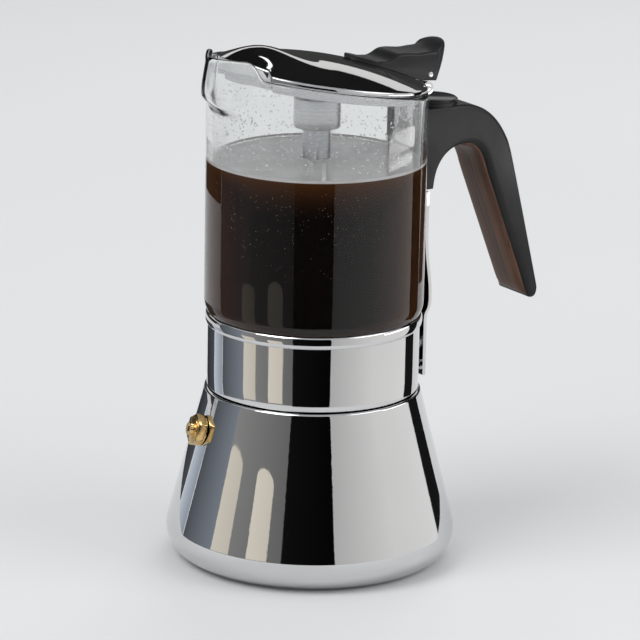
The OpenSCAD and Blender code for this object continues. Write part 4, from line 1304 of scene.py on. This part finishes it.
@dataclass
class Lid:
    """Polished lid, its inner ring, the hinge tongue and the thumb lever."""

    form: JugForm
    thickness: float = 1.0
    edge_share: float = 0.985
    plug_depth: float = 4.0
    plug_t: float = 0.9
    hinge_out: float = 3.0
    thumb_rise: float = 16.0
    tip_x: float = 12.5
    flank_x: float = 47.4
    lever_w: float = 16.0
    lever_roll: float = 1.2
    slot_w: float = 9.5

    def __post_init__(self) -> None:
        """Works out where the hinge is."""
        self.hinge_x = self.form.glass_r + self.hinge_out

    def build_dome(self, looks: Finishes) -> None:
        """Lofts the dome with its nose and turned-down edge."""
        form, t = self.form, self.thickness

        def over(share: float, drop: float, inward: float) -> list[Spot]:
            """Ring of the dome at a share of its radius."""
            spots = [form.around(a, share * (form.lid_edge_r(a) - inward), 0) for a in form.turns]
            return [(x, y, form.lid_top(x, y) - drop) for x, y, _ in spots]

        def edge(inward: float, share: float, lift: float) -> list[Spot]:
            """Makes a ring of the turned-down edge.

            Args:
                inward: How far inside the edge it is.
                share: Share of the dome's height at the edge that it is lifted by.
                lift: How far it is lifted besides.

            Returns:
                The ring.
            """
            ring = []
            for a in form.turns:
                r = form.lid_edge_r(a)
                x, y, _ = form.around(a, r * self.edge_share, 0)
                high = form.lid_top(x, y) - form.lid_plane(x)
                ring.append(form.around(a, r - inward, form.lid_plane(form.around(a, r, 0)[0])
                                        + (high * share + lift)))
            return ring

        fractions = [0.004] + [0.05 * i for i in range(1, 18)] + [0.88, 0.91, 0.935, 0.955, 0.97]
        rings = [over(s, 0, 0) for s in fractions] + [over(self.edge_share, 0.05, 0)]
        rings += [edge(*row) for row in (
            (0.22, 1, -0.22), (0.05, 1, -0.5), (0, 1, -0.9), (0, 0, 0.3), (0.1, 0, 0.08), (0.35, 0, 0),
            (0.65, 0, 0), (0.9, 0, 0.1), (t, 0, 0.4))]
        rings += [over(s, t, t) for s in reversed(fractions)]
        dress(loft("lid_dome", rings, sharp=50), looks.polished, Body.LID, "lid")

    def build_plug(self, looks: Finishes) -> None:
        """Lofts the ring that drops into the glass."""
        form, t = self.form, self.plug_t
        outer = form.glass_r - form.wall - 0.8
        turns = [360 * i / 192 for i in range(192)]

        def ring(inward: float, lift: float | None) -> list[Spot]:
            """Makes a ring of the plug.

            Args:
                inward: How far inside its outer face the ring is.
                lift: Height over the plug's lower edge, or None for a ring that meets the dome.

            Returns:
                The ring.
            """
            spots = []
            for a in turns:
                bent = abs(a - 360 if a > 180 else a)
                reach = min(outer, (form.lid_edge_r(bent) - self.thickness) * 0.96 - 0.1)
                x, y, _ = form.around(a, reach - inward, 0)
                fall = form.rim_fall * outer * math.cos(math.radians(a))
                low = form.rim_z + form.lid_gap - self.plug_depth + fall
                under = form.lid_top(x, y) - self.thickness - 0.15
                spots.append((x, y, under if lift is None else low + lift))
            return spots

        rings = [ring(*row) for row in (
            (0, None), (0, 0.3), (0.12, 0.08), (t / 2, 0), (t - 0.12, 0.08), (t, 0.3), (t, None))]
        dress(loft("lid_inner_ring", rings, closed=True), looks.satin, Body.LID, "lid_plug")

    def lever_side(self) -> tuple[list[Point], list[Point]]:
        """Side view of the thumb lever: its rear edge upward, then its top from rear to tip."""
        form, hinge = self.form, self.hinge_x
        pin_z = form.rim_z - form.rim_fall * form.glass_r - 1.5 + 5.3
        top = form.lid_plane(hinge) + self.thumb_rise

        def strip(n: int, *offsets: Point) -> list[Point]:
            """Curve whose points are offsets from the hinge and the lever's top."""
            return curve(*[(hinge + x, top + z) for x, z in offsets], n)

        rear = curve((hinge + 4.2, pin_z - 2.5), (hinge + 6.6, pin_z - 1.0), (hinge + 9.8, top - 8.5),
                     (hinge + 10.5, top - 2.2), 12)
        over = strip(7, (10.5, -1.2), (10.1, 0.5), (8.2, -0.3), (6.6, -1.2))
        over += strip(9, (6.2, -1.4), (3.6, -3.0), (1.2, -3.5), (-1.6, -3.75))
        over += strip(8, (-2.6, -3.8), (-5.4, -3.9), (-8.2, -3.0), (-11.4, -3.1))
        over += strip(10, (-12, -3.12), (-14.2, -3.3), (-15.4, -5), (-18.6, -5.45))[1:]
        return rear, over

    def lever_ring(self, y: float, rear: Sequence[Point], over: Sequence[Point]) -> list[Spot]:
        """Outline of the thumb lever at a distance from its middle, drawn in toward its ends.

        Args:
            y: The distance.
            rear, over: Its rear edge and its top in the middle.

        Returns:
            The ring of points.
        """
        form, tip, flank = self.form, self.tip_x, self.flank_x
        bend, half, roll = tip + 12, self.lever_w / 2, self.lever_roll
        fall = 1 - math.sqrt(max(0.0, 1 - (max(0.0, abs(y) - half + roll) / roll) ** 2))
        narrow = math.sqrt(max(0.0, 1 - (y / (half + 0.1)) ** 2))
        sink = 3.3 * (1 - narrow)
        ring = []
        for x in [tip, tip + 0.15, *[tip + t for t in (0.6, 1.4, 2.4, 3.8, 5.4, 7.2, 9, 11)]]:
            u = bend - (bend - x) * narrow
            rise = 0.9 if x == tip else 1.62 + max(0.0, x - 19) * 0.13
            ring.append((u, y, form.lid_top(u, 0) + rise * (1 - 0.3 * fall)))
        for x, z in reversed(over):
            u = x if x < flank else flank + (x - flank) * narrow
            low = sink * smooth((x - self.hinge_x + 1) / 9)
            ring.append((u, y, z - low - fall * min(roll, 0.3 * (z - form.lid_top(min(u, 40), 0)))))
        for x, z in reversed(rear):
            low = sink * (z - rear[0][1]) / (rear[-1][1] - rear[0][1])
            ring.append((flank + (x - flank) * narrow, y, z - low))
        for x in (40.2, 36, 32, 28, bend, 20, 16, tip):
            u = bend - (bend - x) * narrow if x < bend else x
            ring.append((u, y, form.lid_top(u, y) + 0.12))
        return ring

    def build_lever(self, looks: Finishes) -> None:
        """Lofts the thumb lever and cuts the slot that the tongue sits in."""
        top, steps, sides = self.form.lid_top, 40, self.lever_side()
        turns = [math.radians(-90 + 180 * i / steps) for i in range(1, steps)]
        rings = [self.lever_ring(self.lever_w / 2 * math.sin(t), *sides) for t in turns]
        lever = loft("thumb_lever_black", rings, sharp=40)
        slot = [(x, top(x, 0) - 1) for x in range(23, 39, 3)]
        slot += [(56, 170), (56, 183.3), (38, top(38, 0) + 2.9)]
        slot += [(x, top(x, 0) + 1.6) for x in range(38, 22, -3)]
        cutter = slab("lever_slot", slot, [0.01] * len(slot), self.slot_w)
        dress(carved(lever, cutter), looks.black, Body.LID, "thumb_lever")

    def build(self, looks: Finishes) -> None:
        """Makes every piece of the lid."""
        self.build_dome(looks)
        self.build_plug(looks)
        dress_copies(Body.LID, (looks.satin, "lid_tongue", "hinge_tongue", 0.2))
        self.build_lever(looks)
        dress_copies(Body.LID, (looks.satin, "lever_pin", "lever_cross_pin", 0.2))


@dataclass
class Handle:
    """Black grip with its walnut inlay, cover, strap and hinge bracket."""

    leg_x: float = 42.65
    leg_z: float = 137.4
    hug_r: float = 41.3
    head_x: float = 51.0
    head_z: float = 169.6
    head_r: float = 10.0
    head_h: float = 13.0
    width: float = 21.0
    reach: float = 96.0
    foot_z: float = 89.6
    top: Point = (71.4, 140.6)
    arch: Point = (62.4, 152.8)
    strap_w: float = 16.2
    wood_w: float = 17.5
    wood_proud: float = 1.6
    wood_bed: float = 2.0

    def __post_init__(self) -> None:
        """Works out the inner corner of the foot, and the curve from the arch to the straight inner line."""
        self.foot = (self.reach - 4.1, self.foot_z)
        self.bow = curve(self.arch, (66.9, 152.5), (69.2, 147.8), self.top, 18)

    def along(self, share: float) -> Point:
        """Point on the grip's straight inner line, 0 at its top and 1 at the foot."""
        return tuple(a + (b - a) * share for a, b in zip(self.top, self.foot))

    def outline(self) -> tuple[list[Point], list[float]]:
        """Side view of the grip, with the radius of the rolled edge at each point."""
        shoulder, left = self.head_z - 1.2, self.hug_r - 1.8
        (x, z), far, low = self.foot, self.reach, self.foot_z
        sections = [
            ([(left, shoulder), (left, self.leg_z), (self.leg_x + 3.4, self.leg_z)], 1.2, 1.2),
            (curve((46.6, 140), (48.1, 149.2), (54.4, 153), (self.arch[0] - 1.6, self.arch[1]), 24),
             1.5, 3.0),
            (self.bow, 3.1, 3.5),
            ([self.along(t) for t in (0.15, 0.3, 0.45, 0.6, 0.75)], 3.5, 3.3),
            ([self.along(t) for t in (0.84, 0.9, 0.95)], 3.0, 2.2),
            (curve((x, z), (x + 1.3, z - 1.1), (x + 3.9, z - 1.0), (far, low + 3), 10), 1.7, 1.7),
            (curve((far - 0.1, low + 4.2), (far - 3.2, low + 17), (83.4, 143.9), (82, 148.6), 14), 1.8, 2.6),
            (curve((80.9, 151.8), (76.9, 160.2), (70.2, 168.2), (58, shoulder), 28), 2.6, 1.6)]
        points, rolls = [], []
        for line, start, end in sections:
            points += line
            rolls += [start + (end - start) * i / max(1, len(line) - 1) for i in range(len(line))]
        return points, rolls

    def build_grip(self, looks: Finishes) -> None:
        """Lofts the grip with rolled edges, fits it round the glass and adds its head."""
        grip = slab("grip_black", *self.outline(), self.width)
        low, high, left, edge = self.leg_z - 1, 185, self.hug_r - 5, self.head_r - 1
        glass = revolve("glass_room", [(0, low), (self.hug_r, low), (self.hug_r, high), (0, high)])
        corners = [(left, low), (self.leg_x, low), (self.leg_x, high), (left, high)]
        carved(grip, glass, slab("strap_room", corners, [0.01] * 4, self.strap_w))
        foot, roll = self.head_z - self.head_h, 0.3
        profile = [(0, foot), (edge, foot), *arc(edge, foot + 1, 1, -90, 0, 5),
                   *arc(self.head_r - roll, self.head_z - roll, roll, 0, 90, 4), (0, self.head_z)]
        head = shifted(revolve("grip_head", profile, steps=128), self.head_x, 0)
        with edited(head.data) as work:
            bmesh.ops.bisect_plane(work, geom=[*work.verts, *work.edges, *work.faces],
                                   plane_co=(self.leg_x * MM, 0, 0), plane_no=(-1, 0, 0), clear_outer=True)
            bmesh.ops.holes_fill(work, edges=[e for e in work.edges if e.is_boundary], sides=0)
        dress(joined("grip_moulding", grip, head), looks.black, Body.JUG, "handle_body")

    def build_inlay(self, looks: Finishes) -> None:
        """Lays the walnut along the grip's inner line and up into the arch."""
        run = math.dist(self.foot, self.top)
        path = [self.along(1 - t / run) for t in (0.8, 1.6, 2.6, 4, 6, 9, 14, 22, 30, 38, 46, run - 3)]
        path += self.bow[-2::-1]
        path += [(self.arch[0] - t, self.arch[1]) for t in (1.4, 2.4, 3.4)]
        lift = [0.1, 0.8, 1.25, 1.5] + [self.wood_proud] * (len(path) - 7) + [1.35, 0.8, 0]
        over, under = [], []
        for i, (x, z) in enumerate(path):
            before, after = path[max(i - 1, 0)], path[min(i + 1, len(path) - 1)]
            side = Vector((before[1] - after[1], after[0] - before[0])).normalized()
            over.append((x + side.x * lift[i], z + side.y * lift[i]))
            under.append((x - side.x * self.wood_bed, z - side.y * self.wood_bed))
        rolls = [0.1] + [min(5.5, 1 + 4 * t) for t in lift[1:-1]] + [0.1] + [0.1] * len(path)
        outline = over + under[::-1]
        inlay = slab("walnut_inlay", outline[::-1], rolls[::-1], self.wood_w, 0.27)
        dress(inlay, looks.walnut, Body.JUG, "wood_inlay")

    def build(self, looks: Finishes) -> None:
        """Makes every piece of the handle."""
        self.build_grip(looks)
        self.build_inlay(looks)
        dress_copies(Body.JUG, (looks.gloss, "handle_cover", "head_cover", 0.2, 25),
                     (looks.polished, "handle_strap", "steel_strap", 0.3),
                     (looks.satin, "handle_screws", "grip_screws", 0.2),
                     (looks.satin, "strap_rivets", "collar_rivets", 0.35),
                     (looks.polished, "hinge_bracket", "rim_bracket", 0.2),
                     (looks.satin, "hinge_pin", "lid_pin", 0.2))


# ---------------------------------------------------------------- studio and camera

@dataclass
class Studio:
    """Pale floor, soft lamps, reflection cards and the camera; cards and lamps are placed in metres."""

    side: float = math.radians(33.5)
    distance: float = 1552.97
    tilt: float = 0.271597
    roll: float = 0.0188802
    across: float = 2.443
    aim_z: float = 90.509
    lens: float = 234.05

    def to_row(self, right: float, depth: float, up: float) -> Vector:
        """Turns camera-wise right, depth and height into the row frame."""
        c, s = math.cos(self.side), math.sin(self.side)
        return Vector((right * c + depth * s, -right * s + depth * c, up))

    def build_camera(self) -> None:
        """Places the camera."""
        ce, se = math.cos(self.tilt), math.sin(self.tilt)
        place = self.to_row(self.across, -self.distance * ce, self.aim_z + self.distance * se) * MM
        look = self.to_row(0, ce, -se)
        right, up = self.to_row(1, 0, 0), self.to_row(0, se, ce)
        cr, sr = math.cos(self.roll), math.sin(self.roll)
        x_axis, y_axis = right * cr + up * sr, up * cr - right * sr
        camera = bpy.data.cameras.new("camera")
        camera.lens = self.lens
        camera.sensor_width = 36
        camera.sensor_fit = "HORIZONTAL"
        camera.clip_end = 50
        stand = new_object("camera", camera)
        stand.matrix_world = Matrix.Translation(place) @ Matrix((x_axis, y_axis, -look)).transposed().to_4x4()
        bpy.context.scene.camera = stand

    def card(self, name: str, start: float, end: float, low: float, high: float, radius: float,
             glow: tuple[float, float], colour: Spot, rounded: float = 0) -> None:
        """A curved card that shows only in reflections.

        Args:
            name: Name of the object.
            start, end: Angles of its ends from the camera, in degrees; positive is to its right.
            low, high: Heights of its edges.
            radius: Distance from the pot.
            glow: Strength of its light at the start and at the end.
            colour: Colour of its light.
            rounded: How far its upper corners are drawn down.
        """
        facing = math.atan2(-math.cos(self.side), -math.sin(self.side))
        steps = 24
        spots = []
        for i in range(steps + 1):
            t = facing + math.radians(start + (end - start) * i / steps)
            drop = rounded * (1 - math.sqrt(1 - (2 * i / steps - 1) ** 2))
            for z in (low, high - drop):
                spots.append((radius / MM * math.cos(t), radius / MM * math.sin(t), z / MM))
        faces = [[2 * i, 2 * i + 2, 2 * i + 3, 2 * i + 1] for i in range(steps)]
        card = skin(name, spots, faces, outward=False)
        along = card.data.attributes.new("along", "FLOAT", "POINT")
        along.data.foreach_set("value", [i // 2 / steps for i in range(2 * steps + 2)])
        material = bpy.data.materials.new(name)
        material.use_nodes = True
        material.node_tree.nodes.clear()
        tree = Tree(material.node_tree)
        share = tree.add("ShaderNodeAttribute", attribute_name="along").outputs["Fac"]
        light = tree.out("ShaderNodeEmission", Color=colour, Strength=tree.spread(share, 0, 1, *glow))
        tree.add("ShaderNodeOutputMaterial", Surface=light)
        card.data.materials.append(material)
        for kind in ("camera", "diffuse", "shadow", "transmission"):
            setattr(card, f"visible_{kind}", False)

    def lamp(self, name: str, place: Spot, size: float, power: float) -> None:
        """A square soft lamp that faces the pot.

        Args:
            name: Name of the lamp.
            place: How far it is to the camera's right, away from the camera, and up.
            size: Length of a side.
            power: Power in watts.
        """
        light = bpy.data.lights.new(name, "AREA")
        light.shape = "SQUARE"
        light.size = size
        light.energy = power
        stand = new_object(name, light)
        stand.location = self.to_row(*place)
        stand.rotation_euler = (Vector((0, 0, 0.09)) - stand.location).to_track_quat("-Z", "Y").to_euler()

    def build_floor(self) -> None:
        """Lays the pale floor."""
        far = 6000
        corners = [(-far, -far, 0), (far, -far, 0), (far, far, 0), (-far, far, 0)]
        floor = skin("floor", corners, [(0, 1, 2, 3)], outward=False)
        shader = Shader("pale_floor")
        cloud = shader.spread(shader.noise(shader.place, 1.5, 2), 0.3, 0.7)
        shader.set(Roughness=0.7, Specular_IOR_Level=0.0,
                   Base_Color=shader.blend(cloud, (0.74, 0.74, 0.735), (0.77, 0.77, 0.765)))
        floor.data.materials.append(shader.material)

    def build_world(self) -> None:
        """Fills the room with even soft light."""
        world = bpy.data.worlds.new("room")
        world.use_nodes = True
        sky = world.node_tree.nodes["Background"]
        sky.inputs["Color"].default_value = (0.93, 0.96, 1.0, 1)
        sky.inputs["Strength"].default_value = 0.55
        bpy.context.scene.world = world

    def build_lights(self) -> None:
        """Sets up the reflection cards and the lamps."""
        near, pane, far, top = 0.2, 0.19, 1.1, 0.2
        cool, plain, cream = (0.78, 0.87, 1.0), (1.0, 0.99, 0.98), (1.0, 0.93, 0.8)
        rows = (
            ("card_edge_left", -152, -124, 0.0, 0.045, near, (0.03, 0.1), cool),
            ("card_streak", -122, -106, 0.0, 0.045, near, (0.75, 0.45), cool),
            ("card_table", -150, -106, 0.096, 0.118, near, (0.06, 0.03), (1.0, 0.72, 0.52)),
            ("card_left", -105, -73, 0.0, top, near, (0.12, 0.3), cool),
            ("card_window_a", -73, -58, 0.004, 0.068, near, (0.8, 0.7), cream, 0.005),
            ("card_window_b", -44, -29, 0.004, 0.072, near, (0.85, 0.75), cream, 0.005),
            ("card_behind", -74, -19, 0.0, top, near + 0.004, (0.3, 0.17), plain),
            ("card_dark", -19, 17.5, 0.0, top, near, (0.006, 0.002), plain),
            ("card_soft", 17.5, 62, 0.0, top, near, (0.55, 0.82), plain),
            ("card_soft_side", 62, 109, 0.0, top, near, (0.82, 0.9), plain),
            ("card_edge", 110, 129, 0.0, top, near, (0.01, 0.01), plain),
            ("card_pane_low", 73, 107, 0.1175, 0.1222, pane, (7, 4), plain, 0.001),
            ("card_pane_high", 73, 111, 0.124, 0.1332, pane, (7, 5), plain, 0.002),
            ("card_far", 120, 240, 0.6, 2.2, far, (0.01, 0.01), plain),
            ("card_far_band", 125, 235, 0.42, 0.6, far, (0.8, 0.8), plain),
            ("card_far_low", 120, 240, 0.0, 0.42, far, (0.05, 0.05), plain))
        for row in rows:
            self.card(*row)
        for row in (("key", (-0.9, -0.7, 1.5), 1.0, 14), ("fill", (1.3, -0.4, 1.0), 1.1, 7),
                    ("back", (0.3, 1.3, 1.2), 0.9, 6)):
            self.lamp(*row)

    def build(self) -> None:
        """Sets up everything that isn't part of the pot."""
        self.build_camera()
        self.build_floor()
        self.build_world()
        self.build_lights()
        bpy.context.scene.view_settings.view_transform = "Standard"


def main() -> None:
    """Builds the studio and every sub-assembly, and reports each piece."""
    logging.basicConfig(level=logging.INFO, format="%(name)s: %(message)s")
    Studio().build()
    looks = Finishes()
    form = JugForm()
    for assembly in (Boiler(), Valve(), Jug(form), Lid(form), Handle()):
        assembly.build(looks)


if __name__ == "__main__":
    main()
